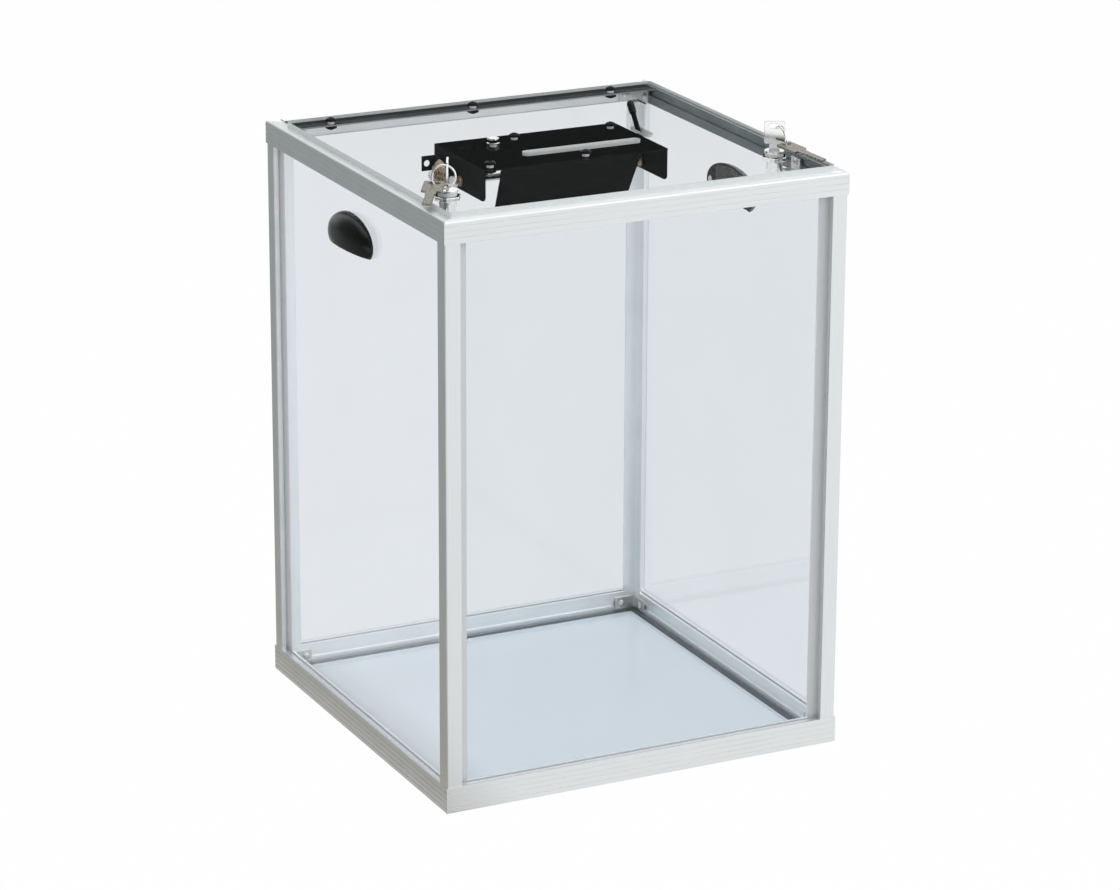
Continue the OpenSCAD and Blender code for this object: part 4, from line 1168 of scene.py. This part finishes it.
@dataclass
class Counter(SubAssembly):
    """The digits printed on the number wheels."""

    first_x: float = -83.5
    pitch: float = 5.0
    y: float = 18.0
    z: float = 536.49
    radius: float = 9.0
    count: int = 4
    digit_size: float = 4.86
    ink: float = 0.04
    ink_gap: float = 0.03

    def build(self) -> None:
        """Prints the fixed wheels and the units wheel."""
        self.digits("carry_digits", range(self.count - 1), "lid")
        self.digits("units_digits", range(self.count - 1, self.count), "counter_units")

    def digits(self, name: str, wheels: Iterable[int], body: str) -> None:
        """Prints 0 to 9 round each wheel.

        Args:
            name: The piece's name.
            wheels: Which wheels, counted from the left.
            body: The body that they ride on.
        """
        form = bmesh.new()
        for figure in range(10):
            curve = bpy.data.curves.new("figure", "FONT")
            curve.body = str(figure)
            curve.size = self.digit_size * MM
            curve.extrude = self.ink * MM
            curve.align_x, curve.align_y = "CENTER", "CENTER"
            text = bpy.data.objects.new("figure", curve)
            bpy.context.scene.collection.objects.link(text)
            shown = text.evaluated_get(bpy.context.evaluated_depsgraph_get())
            mesh = bpy.data.meshes.new_from_object(shown)
            bpy.data.objects.remove(text)
            for wheel in wheels:
                part = bmesh.new()
                part.from_mesh(mesh)
                turn = Matrix.Rotation(-math.tau * figure / 10, 4, "X") @ at(0, 0, self.radius + self.ink_gap)
                add_to(form, part, at(self.first_x + self.pitch * wheel, self.y, self.z) @ turn)
            bpy.data.meshes.remove(mesh)
        self.shop.piece(name, form, "digit_paint", body, "wheel_plastic")


@dataclass
class HoldingStud(SubAssembly):
    """The counter's stud: a flanged hexagon above the lid and a nut below the plate."""

    place: Point = (-53.0, 12.0, LID_TOP)
    flange_r: float = 5.8
    flange_h: float = 1.0
    head_r: float = 5.6
    head_h: float = 4.5
    head_chamfer: float = 0.45
    shank_r: float = 3.0
    shank_chamfer: float = 0.5
    nut_r: float = 5.2
    nut_h: float = 3.0
    nut_chamfer: float = 0.35
    past_nut: float = 1.0

    def build(self) -> None:
        """Makes the stud with its nut."""
        form = bmesh.new()
        x, y, seat = self.place
        r, h = self.flange_r, self.flange_h
        flange = turned([(0.0, 0.0), (r - 0.2, 0.0), (r, 0.2), (r, h - 0.3), (r - 0.6, h), (0.0, h)], 36)
        add_to(form, flange, at(x, y, seat))
        add_to(form, hexagon(self.head_r, self.head_h, self.head_chamfer), at(x, y, seat + h))
        end = PLATE_LOW - self.nut_h - self.past_nut - seat
        core, bevel = self.shank_r, self.shank_chamfer
        shank = turned([(0.0, end), (core - bevel, end), (core, end + bevel), (core, 0.1), (0.0, 0.1)], 24)
        add_to(form, shank, at(x, y, seat))
        nut = hexagon(self.nut_r, self.nut_h, self.nut_chamfer)
        add_to(form, nut, at(x, y, PLATE_LOW - self.nut_h))
        self.shop.piece("flanged_stud", form, "nickel_plate", "lid", "plated_steel", ("counter_stud",))


@dataclass
class Locks(SubAssembly):
    """Cam locks with their keys."""

    body_edge: float = 0.4
    fine_edge: float = 0.3
    nut_edge: float = 0.6

    def build(self) -> None:
        """Rounds the edges of the plated pieces."""
        for word in (side.word for side in Side):
            for node, width, finish, body in (
                ("lock_body", self.body_edge, "nickel_plate", "lid"),
                ("lock_plug", self.fine_edge, "nickel_plate", f"lock_{word}"),
                ("lock_cam", self.fine_edge, "nickel_plate", f"lock_{word}"),
                ("key", self.fine_edge, "key_nickel", f"key_{word}"),
                ("spare_key", self.fine_edge, "spare_nickel_painted_shade", f"key_{word}"),
            ):
                self.shop.softened(f"{node}_{word}", width, finish, body, "nickel_plate")
        self.shop.softened("lock_nuts", self.nut_edge, "nickel_plate", "lid", "nickel_plate")


@dataclass
class PlainParts(SubAssembly):
    """Solids that keep their form and only get a finish."""

    zinc: tuple[str, ...] = ("hinge_pin", "shutter_guides", "counter_axle", "bell_stud", "lever_shaft",
                             "shutter_crank", "bell_striker", "shutter_plate")
    bronze: tuple[str, ...] = ("shaft_bushes",)
    wheels: tuple[str, ...] = ("counter_carry_wheels", "counter_units_wheel")
    rings: tuple[str, ...] = ("key_ring_left", "key_ring_right")

    def build(self) -> None:
        """Dresses them."""
        self.shop.dress("zinc_plate", *self.zinc)
        self.shop.dress("bush_bronze", *self.bronze)
        self.shop.dress("wheel_plastic", *self.wheels)
        self.shop.dress("nickel_plate", *self.rings)


def main() -> None:
    """Builds the stage, dresses the solids and makes the detailed pieces."""
    logging.basicConfig(level=logging.INFO, format="%(name)s: %(message)s")
    Stage().build()
    shop = Workshop()
    for part in (RailFrame, Glazing, Hinge, LidScrews, CarryHandles, SlotMechanism, Bell, Counter,
                 HoldingStud, Locks, PlainParts):
        part(shop).build()


if __name__ == "__main__":
    main()
